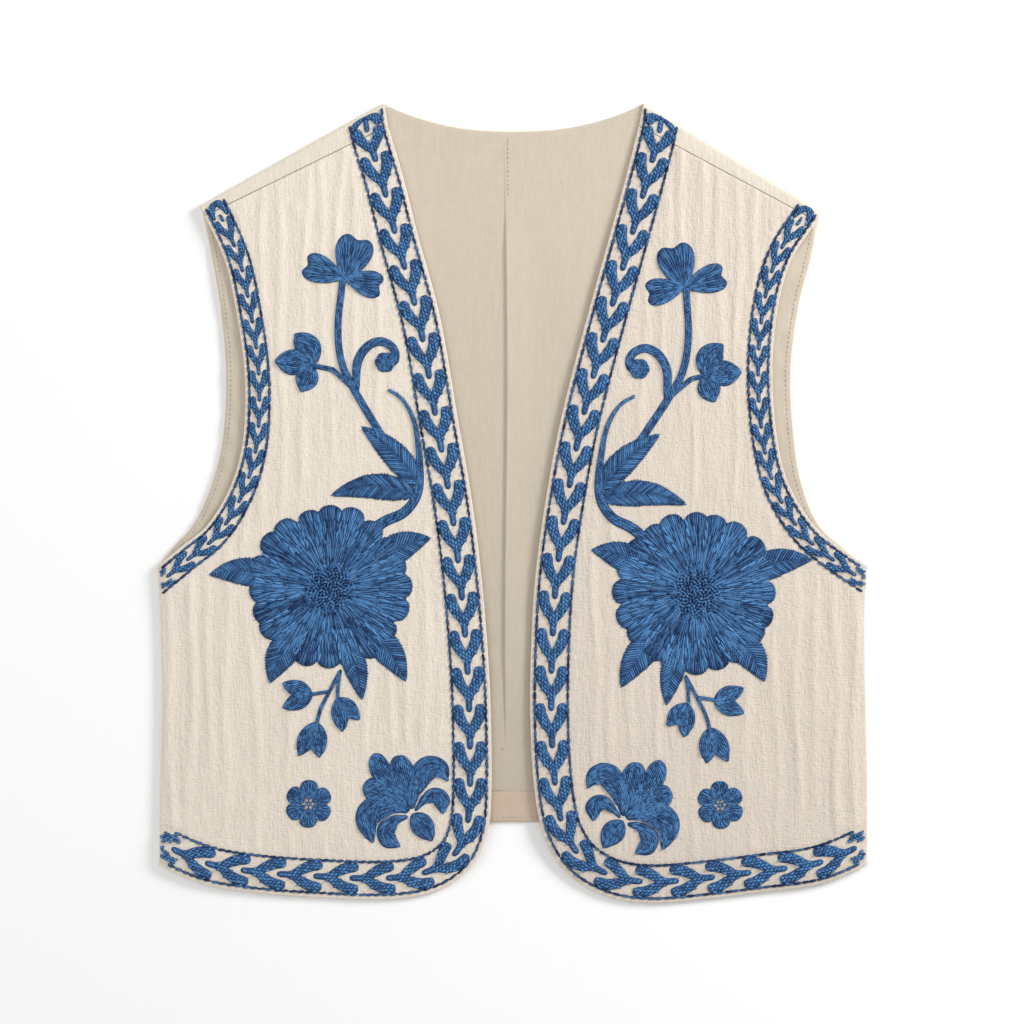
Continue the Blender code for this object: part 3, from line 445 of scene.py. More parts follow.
def woven_cotton(name, code, slub, crinkle, depth, hem_shade=1.0):
    """Plain-woven cotton.

    Loose threads of uneven thickness give it a matt face with a faint grid of slubs. The threads
    are about 0.3 mm apart, which the picture can't show, so the slubs are drawn 1.3 mm apart.
    Towards the hem the cloth is drawn darker, by the share given in its last argument: painted shade.
    """
    material, tree, shader = new_material(name)
    weft = grain(tree, 3.4, 1.3, 2.0)
    warp = grain(tree, 1.2, 4.4, 2.0)
    puckers = grain(tree, 2.6, 17.0, 2.0)
    cloud = grain(tree, 46.0, 60.0, 2.0)
    streaks = maths(tree, "ADD", puckers, warp)
    high = maths(tree, "MULTIPLY", maths(tree, "ADD", weft, warp), slub)
    relief = maths(tree, "MULTIPLY_ADD", puckers, crinkle, high)
    base = linear(code)
    # The streaks follow the puckers, which also raise the bump, and the warp's slubs: shadow and lit are
    # painted shade and painted light on the crinkles, with real tone along the slubs.
    shadow = tuple(v * f for v, f in zip(base, (0.90, 0.89, 0.87))) + (1.0,)
    lit = tuple(min(1.0, v * 1.06) for v in base[:3]) + (1.0,)
    tones = blended(tree, ranged(tree, streaks, 0.7, 1.3), shadow, lit)
    colour = blended(tree, ranged(tree, cloud, 0.3, 0.7, 0.35, 0.65), tones, base)
    bump = node(tree, "ShaderNodeBump", {"Height": relief, "Strength": 1.0, "Distance": depth * MM})
    spot = node(tree, "ShaderNodeTexCoord").outputs["Object"]
    height = node(tree, "ShaderNodeSeparateXYZ", {0: spot}).outputs["Y"]
    # Painted shade: the colour is scaled down from the top of the cloth towards the hem.
    painted_shade = ranged(tree, height, 0.20, -0.22, 1.0, hem_shade)
    coloured = node(tree, "ShaderNodeVectorMath", {0: colour, "Scale": painted_shade}, operation="SCALE")
    feed(tree, shader, {
        "Base Color": coloured.outputs[0], "Normal": bump.outputs["Normal"], "Roughness": 0.9,
        "Specular IOR Level": 0.25, "Sheen Weight": 0.15, "Sheen Roughness": 0.5,
    })
    return material


def stranded_thread(name, dark, light):
    """Stranded cotton embroidery thread, mercerised.

    Its soft silky shine along each stitch is a painted highlight on the stitch's top, with a little real
    shine; its sides, between the stitches, are drawn darker, painted shade; and it has a twist of strands 0.5
    mm apart.
    """
    material, tree, shader = new_material(name)
    tone = node(tree, "ShaderNodeAttribute", attribute_name="tone").outputs["Fac"]
    lay = node(tree, "ShaderNodeUVMap", uv_map="strand")
    twist = node(tree, "ShaderNodeTexWave", {
        "Vector": lay.outputs["UV"], "Scale": 3.0, "Distortion": 1.0, "Detail": 1.0,
    }, bands_direction="DIAGONAL")
    fleck = grain(tree, 2.2, 2.2, 2.0)
    crest = node(tree, "ShaderNodeAttribute", attribute_name="crest").outputs["Fac"]
    # crest times tone is the painted highlight; where it is low, on the stitches' sides, the colour falls to
    # painted shade, and fleck adds random tone.
    mixed = maths(tree, "MULTIPLY_ADD", fleck, 0.30, maths(tree, "MULTIPLY", crest, tone))
    colour = blended(tree, ranged(tree, mixed, 0.31, 0.86), linear(dark), linear(light))
    bump = node(tree, "ShaderNodeBump", {
        "Height": twist.outputs["Fac"], "Strength": 0.5, "Distance": 0.2 * MM,
    })
    feed(tree, shader, {
        "Base Color": colour, "Normal": bump.outputs["Normal"], "Roughness": 0.55,
        "Specular IOR Level": 0.2, "Sheen Weight": 0.04,
    })
    return material


def matt_paper(name, code):
    """A smooth matt paper sweep, which gives a plain bright ground with no shine."""
    material, tree, shader = new_material(name)
    feed(tree, shader, {"Base Color": linear(code), "Roughness": 1.0, "Specular IOR Level": 0.0})
    return material


def soft_noise(x, y, seed):
    """Smooth noise from -1 to 1 whose cells are one unit wide."""
    table = np.random.default_rng(seed).uniform(-1, 1, (NOISE_CELLS, NOISE_CELLS))
    left, low = np.floor(x).astype(int), np.floor(y).astype(int)
    a, b = x - left, y - low
    a, b = a * a * (3 - 2 * a), b * b * (3 - 2 * b)

    def corner(i, j):
        return table[(left + i) % NOISE_CELLS, (low + j) % NOISE_CELLS]

    under = corner(0, 0) * (1 - a) + corner(1, 0) * a
    over = corner(0, 1) * (1 - a) + corner(1, 1) * a
    return under * (1 - b) + over * b


def smooth(points, step):
    """A smooth curve through the points, cut into pieces of about one step."""
    line = np.array(points, float)
    line = np.vstack([2 * line[0] - line[1], line, 2 * line[-1] - line[-2]])
    out = [line[1]]
    for before, a, b, after in zip(line, line[1:], line[2:], line[3:]):
        count = max(1, round(float(np.linalg.norm((b - a)[:2])) / step))
        for k in range(1, count + 1):
            t = k / count
            bend = (b - before) * (t - 2 * t**2 + t**3) / 2 + (after - a) * (t**3 - t**2) / 2
            out.append(a * (1 - 3 * t**2 + 2 * t**3) + b * (3 * t**2 - 2 * t**3) + bend)
    return np.array(out)


def evened(line, step):
    """The same line with its points about one step apart."""
    reach = measured(line)
    count = max(1, round(reach[-1] / step))
    marks = np.linspace(0, reach[-1], count + 1)
    return sampled(marks, reach, line)


def sampled(at, reach, rows):
    """Rows of numbers, one for each reach along a line, read off at other distances."""
    return np.stack([np.interp(at, reach, rows[:, k]) for k in range(rows.shape[1])], 1)


def measured(line):
    """How far along the line each of its points is."""
    return np.concatenate([[0.0], np.cumsum(np.linalg.norm(np.diff(line[:, :2], axis=0), axis=1))])


def directions(line):
    """The unit direction of a line at each of its points."""
    runs = np.gradient(line[:, :2], axis=0)
    return runs / np.linalg.norm(runs, axis=1)[:, None]


def sideways(runs):
    """Each direction turned left by a right angle."""
    return np.column_stack([-runs[:, 1], runs[:, 0]])


def along(rows, side):
    return [(row.left if side < 0 else row.right, row.height) for row in rows]


def along_hem(rows, side):
    if side < 0:
        return [(row.left_across, row.left_height) for row in rows]
    return [(row.right_across, row.right_height) for row in rows]


def inside(points, outline):
    """Which points are inside a closed outline."""
    hit = np.zeros(len(points), bool)
    x, y = points[:, 0], points[:, 1]
    for (ax, ay), (bx, by) in zip(outline, np.roll(outline, -1, axis=0)):
        if ay != by:
            hit ^= ((ay > y) != (by > y)) & (x < ax + (bx - ax) * (y - ay) / (by - ay))
    return hit


def nearest(points, line):
    """The distance from each point to a line, and how far along the line that is."""
    reach = measured(line)
    best = np.full(len(points), np.inf)
    spot = np.zeros(len(points))
    for k in range(len(line) - 1):
        a, run = line[k], line[k + 1] - line[k]
        size = float(run @ run)
        if size == 0:
            continue
        share = np.clip((points - a) @ run / size, 0, 1)
        away = np.linalg.norm(points - a - share[:, None] * run, axis=1)
        closer = away < best
        best[closer] = away[closer]
        spot[closer] = reach[k] + share[closer] * math.sqrt(size)
    return best, spot


def closed(outline):
    return np.vstack([outline, outline[:1]])


def anticlockwise(outline):
    """The outline the anticlockwise way round, and its area."""
    x, y = outline[:, 0], outline[:, 1]
    area = (x * np.roll(y, -1) - np.roll(x, -1) * y).sum() / 2
    return (outline if area > 0 else outline[::-1]), abs(area)


def side_roll(x):
    """0 on the flat cloth, up to 1 at the side folds."""
    return np.clip((np.abs(x) - HALF_WIDTH + SIDE_ROLL) / SIDE_ROLL, 0, 1)


def shoulder_frame(side):
    """Where the shoulder fold starts, at the neck and at the tip, and its outward direction."""
    row = SHOULDERS[side]
    neck = np.array([row.neck_across, row.neck_height])
    tip = np.array([row.tip_across, row.tip_height])
    down = (tip - neck) / np.linalg.norm(tip - neck)
    out = np.array([down[1], -down[0]])
    if out[1] < 0:
        out = -out
    inset = FOLD_RADIUS + SHELL_WALL / 2
    return neck - out * inset, tip - out * inset, out


def shoulder_seam(side, gap):
    """The neck end and the tip end of a front's top edge, this far below the back's strip."""
    row = SHOULDERS[side]
    start, end, out = shoulder_frame(side)
    inset = FOLD_RADIUS + SHELL_WALL / 2
    down = (end - start) / np.linalg.norm(end - start)
    neck = start + out * (inset - row.neck_strip - gap) + down * NECK_LEAN
    return neck, end + out * (inset - row.tip_strip - gap)


def hem_height(x):
    return BACK_HEM_MIDDLE + (BACK_HEM_SIDE - BACK_HEM_MIDDLE) * (x / HALF_WIDTH) ** 2


def front_edge_line(side, step, before=()):
    neck, _ = shoulder_seam(side, SEAM_GAP)
    points = [*before, neck] + along(FRONT_EDGE[1:], side) + along_hem(FRONT_HEM, side)
    return smooth(points + along([SIDE_HEM], side), step)


def armhole_line(side, step, before=(), after=()):
    _, tip = shoulder_seam(side, SEAM_GAP)
    return smooth([*before, tip] + along(FRONT_ARMHOLE + [UNDERARM], side) + list(after), step)


def folds_rise(points, folds):
    """Broad soft folds, each rounded across and along."""
    total = np.zeros(len(points))
    for fold in folds:
        start = np.array([fold.start_across, fold.start_height])
        run = np.array([fold.end_across, fold.end_height]) - start
        share = (points - start) @ run / (run @ run)
        away = np.linalg.norm(points - start - share[:, None] * run, axis=1) / fold.half_width
        here = (share > 0) & (share < 1) & (away < 2)
        rise = np.sin(np.pi * np.clip(share, 0, 1)) ** 0.8 * np.cos(np.pi * np.clip(away, 0, 2) / 4) ** 2
        total += np.where(here, fold.rise * rise, 0.0)
    return total


def ridges_rise(points, rows, seed):
    """Crinkles: each ridge leans and sways a little, and fades in and out along its length."""
    x, y = points[:, 0], points[:, 1]
    total = np.zeros(len(points))
    for k, row in enumerate(rows):
        share = np.clip((row.top - y) / (row.top - row.bottom), 0, 1)
        middle = row.across + row.lean * (share - 0.5) + row.sway * np.sin(y / 21 + k * 1.7)
        ends = np.clip(np.minimum(row.top - y, y - row.bottom) / 25 + 1, 0, 1)
        strength = 0.65 + 0.35 * soft_noise(y / 34 + 7.3 * k, np.full(len(y), 0.5 + k), seed)
        away = (x - middle) / row.width
        shape = np.exp(-away ** 2) - 0.35 * np.exp(-((away - 1.9) / 1.5) ** 2)
        total += RIDGE_GAIN * row.rise * strength * ends * shape
    return total


def stitched_down(points, side):
    """1 on open cloth, less under the embroidery, which holds the cloth flat."""
    keep = np.ones(len(points))
    for name, reach, shift in (("flower", 64.0, 0.0), ("palmette", 36.0, 8.0), ("small_flower", 20.0, 0.0)):
        place = PLACES[name][side]
        centre = np.array([place.across + side * shift * 0.5, place.height + shift])
        away = np.linalg.norm(points - centre, axis=1)
        keep = np.minimum(keep, 0.15 + 0.85 * np.clip((away - reach) / 8, 0, 1))
    return keep


FRONT_LINES = {side: front_edge_line(side, 4.0) for side in (-1, 1)}
ARM_LINES = {side: armhole_line(side, 4.0) for side in (-1, 1)}


def front_height(points, side):
    """The middle of a front's cloth, with its lift, droop, folds and crinkles."""
    x, y = points[:, 0], points[:, 1]
    rows = FRONT_EDGE[::-1]
    edge = np.interp(y, [r.height for r in rows], [r.left if side < 0 else r.right for r in rows])
    inward = np.maximum(0, (x - edge) * side)
    lift = EDGE_LIFT * np.maximum(0, 1 - inward / EDGE_LIFT_REACH) ** 2
    lift = lift * np.clip((EDGE_LIFT_TOP - y) / (EDGE_LIFT_TOP - EDGE_LIFT_FULL), 0, 1)
    past = np.clip((hem_height(x) - y) / HEM_DROOP_REACH, 0, 1)
    drop = FRONT_DROP * side_roll(x) ** 2 + HEM_DROOP * past ** 2 * (3 - 2 * past)
    from_edge, spot = nearest(points, FRONT_LINES[side])
    from_arm, arm_spot = nearest(points, ARM_LINES[side])
    free = stitched_down(points, side)
    free *= 0.25 + 0.75 * np.clip((from_edge - 26) / 8, 0, 1)
    free *= 0.25 + 0.75 * np.clip((from_arm - 18) / 6, 0, 1)
    crinkle = ridges_rise(points, RIDGES[side], 11 + side)
    crinkle += 0.16 * soft_noise(x / 4.4 + 0.6 * soft_noise(x / 9, y / 30, 5), y / 34, 3 + side)
    crinkle += 0.35 * soft_noise(x / 26, y / 52, 21 + side)
    gather = 0.22 * np.exp(-((from_edge - 31) / 5) ** 2) * soft_noise(spot / 3.6, from_edge / 16, 31)
    gather += 0.18 * np.exp(-((from_arm - 21) / 4) ** 2) * soft_noise(arm_spot / 3.6, from_arm / 16, 37)
    puff = 0.10 * soft_noise(x / 3.5, y / 3.5, 41) * ((from_edge < 28) | (from_arm < 19))
    for band, away in ((FRONT_BAND, from_edge), (ARM_BAND, from_arm)):
        for way in (-1, 1):
            puff = puff - 0.4 * np.exp(-((away - band.inset - way * (band.half - 0.8)) / 1.2) ** 2)
    wear = folds_rise(points, FRONT_FOLDS[side])
    return FRONT_REST + FRONT_WALL / 2 + lift - drop + wear + free * crinkle + gather + puff


def front_place(side):
    def place(points, offset):
        return np.column_stack([points, front_height(points, side) + offset])
    return place


def back_place(points, offset):
    """The back: flat on the table, then rolled over the shoulder folds."""
    offset = np.broadcast_to(offset, len(points)).astype(float)
    out_all = np.empty((len(points), 3))
    for side in (-1, 1):
        mine = (points[:, 0] < 0) if side < 0 else (points[:, 0] >= 0)
        p, shift = points[mine], offset[mine]
        start, _, out = shoulder_frame(side)
        past = (p - start) @ out
        wrinkle = 0.5 + 0.5 * soft_noise(p[:, 0] / 5.2, p[:, 1] / 30, 51)
        wrinkle = 0.22 * wrinkle * np.clip(1 - np.maximum(past, 0) / 2, 0, 1)
        strip = 0.18 * soft_noise(p[:, 0] / 9, past / 5, 53) * np.clip((past - 4) / 3, 0, 1)
        turn = np.clip(past / FOLD_RADIUS, 0, math.pi)
        foot = p - np.outer(np.maximum(past, 0), out)
        reach = FOLD_RADIUS * np.sin(turn) - np.maximum(0, past - math.pi * FOLD_RADIUS)
        reach = np.where(past > 0, reach, 0.0) - np.sin(turn) * shift
        high = SHELL_WALL / 2 + FOLD_RADIUS * (1 - np.cos(turn)) + np.cos(turn) * shift
        high += BACK_RISE * side_roll(p[:, 0]) ** 2 * (past <= 0) + wrinkle + strip
        out_all[mine] = np.column_stack([foot + reach[:, None] * out, high])
    return out_all


def pleat_rise(points):
    """How far the ease pleat stands up from the lining."""
    x, y = points[:, 0], points[:, 1]
    away = x - PLEAT_ACROSS - 0.8 * np.sin(y / 60)
    share = np.where(away < PLEAT_STEP, away / PLEAT_STEP, (PLEAT_WIDTH - away) / (PLEAT_WIDTH - PLEAT_STEP))
    share = np.clip(share, 0, 1)
    length = np.clip((y - PLEAT_BOTTOM) / (PLEAT_TOP - PLEAT_BOTTOM), 0, 1)
    opening = 0.35 + 0.65 * np.clip((208 - y) / 30, 0, 1)
    return PLEAT_RISE * share ** 1.3 * np.minimum(1, np.minimum(6 * length, 6 * (1 - length))) * opening


def lining_place(points, offset):
    x, y = points[:, 0], points[:, 1]
    waves = 0.32 * soft_noise(x / 24, y / 110, 61) + 0.10 * soft_noise(x / 7, y / 60, 63)
    sleeve = np.clip((np.abs(x) - 182) / 12, 0, 1)
    waves += sleeve * 0.6 * soft_noise(x / 8 + y / 26, y / 13, 67)
    edge = np.clip((y - hem_height(x) - FACING_DEPTH) / 6, 0, 1)
    waves = waves * edge + (1 - edge) * 0.25 * soft_noise(x / 11, y / 40, 69)
    rest = SHELL_WALL + SEAM_GAP + LINING_WALL / 2 + 0.42
    high = rest + BACK_RISE * side_roll(x) ** 2 + pleat_rise(points) + waves
    return np.column_stack([points, high + offset])


def facing_place(points, offset):
    x, y = points[:, 0], points[:, 1]
    rest = SHELL_WALL + SEAM_GAP + LINING_WALL / 2 + 0.12
    high = rest + BACK_RISE * side_roll(x) ** 2 + 0.12 * soft_noise(x / 14, y / 30, 71)
    return np.column_stack([points, high + offset])


def filled(outline, spacing, clear, bends=None):
    """A panel's points, its outline first, and the triangles between them.

    bends are points that have to be there too, where the cloth bends sharply.
    """
    low, high = outline.min(0), outline.max(0)
    rise = spacing * math.sqrt(3) / 2
    rows = np.arange(1, int((high[1] - low[1]) / rise) + 1)
    columns = np.arange(int((high[0] - low[0]) / spacing) + 1)
    across, up = np.meshgrid(columns, rows)
    grid = np.column_stack([
        (low[0] + (across + 0.5 * (up % 2)) * spacing).ravel(), (low[1] + up * rise).ravel(),
    ])
    grid = grid[inside(grid, outline)]
    grid = grid[nearest(grid, closed(outline))[0] > clear]
    if bends is not None:
        bends = bends[inside(bends, outline)]
        bends = bends[nearest(bends, closed(outline))[0] > 0.4]
        away = np.concatenate([
            np.sqrt(((part[:, None] - bends[None]) ** 2).sum(2).min(1))
            for part in np.array_split(grid, max(1, len(grid) // 1000))
        ])
        grid = np.vstack([bends, grid[away > spacing * 0.6]])
    points = [Vector(p) for p in np.vstack([outline, grid])]
    made, _, triangles, origins, _, owners = geometry.delaunay_2d_cdt(
        points, [], [list(range(len(outline)))], 0, 1e-4)
    at = {first: k for k, ids in enumerate(origins) for first in ids}
    place = np.array([(p.x, p.y) for p in made])
    order = [at[k] for k in range(len(outline))]
    rest = [k for k in range(len(made)) if k not in set(order)]
    rank = np.empty(len(made), int)
    rank[order + rest] = np.arange(len(made))
    kept = np.array([rank[list(t)] for t, owner in zip(triangles, owners) if owner])
    return place[order + rest], kept


def panel(name, outline, place, wall, spacing, material, rows):
    """A closed cloth panel with rounded edges: a fine face above and a plainer one below."""
    outline, area = anticlockwise(np.array(outline, float))
    runs = np.roll(outline, -1, axis=0) - np.roll(outline, 1, axis=0)
    outward = np.column_stack([runs[:, 1], -runs[:, 0]])
    outward /= np.linalg.norm(outward, axis=1)[:, None]
    half = wall / 2
    inner = outline - outward * half
    count = len(inner)
    top_flat, top_faces = filled(inner, spacing, spacing * 0.55, rows)
    low_flat, low_faces = filled(inner, UNDER_SPACING, UNDER_SPACING * 0.5, rows)
    points = [place(top_flat, half)]
    starts = [0]
    total = len(top_flat)
    for angle in (60, 20, -20, -60):
        turn = math.radians(angle)
        points.append(place(inner + outward * math.cos(turn) * half, math.sin(turn) * half))
        starts.append(total)
        total += count
    points.append(place(low_flat, -half))
    starts.append(total)
    faces = [tuple(t) for t in top_faces]
    faces += [tuple(t[::-1] + total) for t in low_faces]
    for a, b in zip(starts, starts[1:]):
        for k in range(count):
            n = (k + 1) % count
            faces.append((a + k, b + k, b + n, a + n))
    mesh = bpy.data.meshes.new(name)
    mesh.from_pydata(np.vstack(points) * MM, [], faces)
    mesh.materials.append(material)
    mesh.validate()
    mesh.shade_smooth()
    return linked(name, mesh), area


def cloth(name, outline, place, wall, spacing, node_name, material, allowance, rows=None):
    """A sheet of cloth that stands for one solid; the area of its cut, with a seam allowance all round, is
    reckoned but not used.
    """
    piece, area = panel(name, outline, place, wall, spacing, material, rows)
    ring = closed(np.array(outline))
    cut = area * MM ** 2 + measured(ring)[-1] * MM * allowance
    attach(piece, "root")
    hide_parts(node_name)
    return piece


class Needlework:
    """Stitches and the padding under them, collected for one piece."""

    def __init__(self, side, surface, seed):
        self.side = side
        self.surface = surface
        self.random = np.random.default_rng(seed)
        self.spots, self.turns, self.sizes, self.tones = [], [], [], []
        self.points, self.faces = [], []
        self.total = 0

    def on_cloth(self, points):
        """Which points of a front are short of the side fold and of the shoulder fold."""
        if not self.side:
            return np.ones(len(points), bool)
        return (np.abs(points[:, 0]) <= SIDE_LIMIT + 0.1) & (self.past_fold(points) < -FOLD_LIMIT)

    def past_fold(self, points):
        """How far points lie past the shoulder's fold."""
        row = SHOULDERS[self.side]
        return (points - np.array([row.neck_across, row.neck_height])) @ shoulder_frame(self.side)[2]

    def stitch(self, starts, ends, width, tone, lift=0.0, spread=0.08):
        """Lays a stitch from each start to each end; lift is how far padding raises it there."""
        starts, ends = np.atleast_2d(starts), np.atleast_2d(ends)
        kept = self.on_cloth(starts) & self.on_cloth(ends)
        if not kept.any():
            return
        starts, ends = starts[kept], ends[kept]
        swap = self.random.random(len(starts))[:, None] < 0.5
        starts, ends = np.where(swap, ends, starts), np.where(swap, starts, ends)
        lift, tone = np.broadcast_to(lift, len(kept))[kept], np.broadcast_to(tone, len(kept))[kept]
        count = len(starts)
        first, last = self.surface(starts), self.surface(ends)
        run = ends - starts
        length = np.linalg.norm(run, axis=1)
        middle = (starts + ends) / 2
        high = np.maximum((first + last) / 2, self.surface(middle)) + lift
        self.spots.append(np.column_stack([middle, high]))
        pitch = -np.arctan2(last - first, np.maximum(length, 0.1))
        self.turns.append(np.column_stack([np.zeros(count), pitch, np.arctan2(run[:, 1], run[:, 0])]))
        wide = np.broadcast_to(width, len(kept))[kept] * (1 + spread * self.random.uniform(-1, 1, count))
        self.sizes.append(np.column_stack([length, wide, wide]))
        self.tones.append(tone + TONE_SPREAD * self.random.uniform(-1, 1, count))

    def pad(self, outline, height, spacing=2.6):
        """A low domed bed of thread that fills an outline under its stitches."""
        outline, _ = anticlockwise(np.array(outline, float))
        flat, triangles = filled(outline, spacing, spacing * 0.45)
        count = len(outline)
        away = nearest(flat, closed(outline))[0]
        away[:count] = 0
        base = self.surface(flat)
        dome = height * np.sqrt(1 - (1 - np.clip(away / 2.6, 0, 1)) ** 2)
        self.points += [
            np.column_stack([flat, base + 0.10 + dome]),
            np.column_stack([flat[:count], base[:count] - 0.35]),
        ]
        start = self.total
        under = start + len(flat)
        self.faces += [tuple(t + start) for t in triangles]
        for k in range(count):
            n = (k + 1) % count
            self.faces.append((start + n, start + k, under + k, under + n))
        self.faces.append(tuple(under + k for k in range(count - 1, -1, -1)))
        self.total = under + count

    def ribbon(self, line, widths):
        """The outline of a strip along a line, round at both ends."""
        run = directions(line)
        out = sideways(run)
        half = np.asarray(widths)[:, None] / 2
        turns = np.radians([150, 120, 90, 60, 30])[:, None]
        start = line[0] - half[0] * (np.sin(turns) * run[0] + np.cos(turns) * out[0])
        end = line[-1] + half[-1] * (np.sin(turns) * run[-1] + np.cos(turns) * out[-1])
        left, right = line + out * half, line - out * half
        return np.vstack([left, end[::-1], right[::-1], start[::-1]])


def strand_mesh():
    """One stitch as long, wide and high as one unit: round, tapered, and dipping at its ends."""
    stations = [(-0.5, 0.0), (-0.43, 0.66), (-0.18, 1.0), (0.18, 1.0), (0.43, 0.66), (0.5, 0.0)]
    sides = 6
    points, rings, faces, marks, crest = [], [], [], [], []
    for along_it, size in stations:
        middle = 0.34 * (1 - (2 * along_it) ** 2) - 0.22
        bow = 0.07 * math.sin(2 * math.pi * along_it)
        count = 1 if size == 0 else sides
        rings.append(list(range(len(points), len(points) + count)))
        for k in range(count):
            turn = 2 * math.pi * k / sides + math.pi / 2
            high = middle + 0.55 * size * math.sin(turn)
            points.append((along_it, bow + 0.5 * size * math.cos(turn), high))
            marks.append((along_it * 4, k / sides))
            # crest is 1 on the stitch's top, where the painted highlight goes, and 0 on its sides, painted
            # shade
            crest.append(size ** 0.6 * max(0.0, (math.sin(turn) + 0.1) / 1.1) ** 1.5)
    for a, b in zip(rings, rings[1:]):
        for k in range(sides):
            n = (k + 1) % sides
            if len(a) == 1:
                faces.append((a[0], b[n], b[k]))
            elif len(b) == 1:
                faces.append((a[k], a[n], b[0]))
            else:
                faces.append((a[k], a[n], b[n], b[k]))
    mesh = bpy.data.meshes.new("strand")
    mesh.from_pydata(points, [], faces)
    mesh.attributes.new("crest", "FLOAT", "POINT").data.foreach_set("value", crest)
    layer = mesh.uv_layers.new(name="strand")
    for loop in mesh.loops:
        layer.data[loop.index].uv = marks[loop.vertex_index]
    mesh.shade_smooth()
    return linked("strand", mesh)


def stitch_tree():
    """Lays one strand at every loose point, joins it to the padding and gives it the thread."""
    tree = bpy.data.node_groups.new("laid_stitches", "GeometryNodeTree")
    for word, kind in (("Geometry", "Geometry"), ("Strand", "Object"), ("Thickness", "Float"),
                       ("Unevenness", "Float"), ("Seed", "Int"), ("Thread", "Material")):
        tree.interface.new_socket(word, in_out="INPUT", socket_type="NodeSocket" + kind)
    tree.interface.new_socket("Geometry", in_out="OUTPUT", socket_type="NodeSocketGeometry")
    given = node(tree, "NodeGroupInput").outputs

    def stored(word, kind):
        named = node(tree, "GeometryNodeInputNamedAttribute", {"Name": word}, data_type=kind)
        return named.outputs["Attribute"]

    parts = node(tree, "GeometryNodeSeparateGeometry", {
        "Geometry": given["Geometry"], "Selection": stored("laid", "BOOLEAN"),
    }, domain="POINT")
    strand = node(tree, "GeometryNodeObjectInfo", {"Object": given["Strand"]})
    uneven = node(tree, "FunctionNodeRandomValue", {"Seed": given["Seed"]}, data_type="FLOAT")
    limits = [s for s in uneven.inputs if s.enabled]
    tree.links.new(maths(tree, "SUBTRACT", 1.0, given["Unevenness"]), limits[0])
    tree.links.new(maths(tree, "ADD", 1.0, given["Unevenness"]), limits[1])
    plump = [s for s in uneven.outputs if s.enabled][0]
    thick = maths(tree, "MULTIPLY", plump, given["Thickness"])
    axes = node(tree, "ShaderNodeCombineXYZ", {"X": 1.0, "Y": thick, "Z": thick})
    scale = node(tree, "ShaderNodeVectorMath", {0: stored("size", "FLOAT_VECTOR"), 1: axes.outputs[0]},
                 operation="MULTIPLY")
    angle = node(tree, "FunctionNodeEulerToRotation", {0: stored("turn", "FLOAT_VECTOR")})
    laid = node(tree, "GeometryNodeInstanceOnPoints", {
        "Points": parts.outputs["Selection"], "Instance": strand.outputs["Geometry"],
        "Rotation": angle.outputs[0], "Scale": scale.outputs[0],
    })
    real = node(tree, "GeometryNodeRealizeInstances", {"Geometry": laid.outputs[0]})
    both = node(tree, "GeometryNodeJoinGeometry", {"Geometry": real.outputs[0]})
    tree.links.new(parts.outputs["Inverted"], both.inputs["Geometry"])
    coloured = node(tree, "GeometryNodeSetMaterial", {
        "Geometry": both.outputs[0], "Material": given["Thread"],
    })
    node(tree, "NodeGroupOutput", {"Geometry": coloured.outputs[0]})
    return tree


def sewn(name, work, material, seed):
    """Turns collected needlework into one plain mesh, with the stitches laid by Geometry Nodes."""
    tree = bpy.data.node_groups.get("laid_stitches") or stitch_tree()
    strand = bpy.data.objects.get("strand") or strand_mesh()
    settings = bpy.context.scene.waistcoat
    pads = np.vstack(work.points) * MM if work.points else np.empty((0, 3))
    spots = np.vstack(work.spots) * MM
    mesh = bpy.data.meshes.new(name + "_plan")
    mesh.from_pydata(np.vstack([pads, spots]), [], work.faces)
    count, all_points = len(pads), len(pads) + len(spots)
    laid = np.arange(all_points) >= count
    mesh.attributes.new("laid", "BOOLEAN", "POINT").data.foreach_set("value", laid)
    # The padding gets PAD_TONE, painted shade in the gaps between stitches, with crest 1.
    tones = np.concatenate([np.full(count, PAD_TONE), *work.tones])
    mesh.attributes.new("tone", "FLOAT", "POINT").data.foreach_set("value", tones)
    mesh.attributes.new("crest", "FLOAT", "POINT").data.foreach_set("value", np.ones(all_points))
    for word, rows, factor in (("turn", work.turns, 1.0), ("size", work.sizes, MM)):
        values = np.zeros((all_points, 3))
        values[count:] = np.vstack(rows) * factor
        mesh.attributes.new(word, "FLOAT_VECTOR", "POINT").data.foreach_set("vector", values.ravel())
    mesh.shade_smooth()
    plan = linked(name + "_plan", mesh)
    modifier = plan.modifiers.new("stitches", "NODES")
    modifier.node_group = tree
    inputs = {s.name: s.identifier for s in tree.interface.items_tree if s.in_out == "INPUT"}
    modifier[inputs["Strand"]] = strand
    modifier[inputs["Thickness"]] = settings.thread_thickness
    modifier[inputs["Unevenness"]] = settings.thread_unevenness
    modifier[inputs["Seed"]] = seed
    modifier[inputs["Thread"]] = material
    bpy.context.view_layer.update()
    graph = bpy.context.evaluated_depsgraph_get()
    final = bpy.data.meshes.new_from_object(plan.evaluated_get(graph), depsgraph=graph)
    final.name = name
    bpy.data.objects.remove(plan)
    for word in ("laid", "turn", "size"):
        if word in final.attributes:
            final.attributes.remove(final.attributes[word])
    if not len(final.polygons):
        raise RuntimeError(name + " has no stitches")
    return linked(name, final)


def thread_piece(name, work, node_name, seed):
    """Blue needlework that stands for one solid."""
    piece = sewn(name, work, bpy.data.materials["mercerised_blue_thread"], seed)
    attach(piece, "root")
    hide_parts(node_name)
    return piece


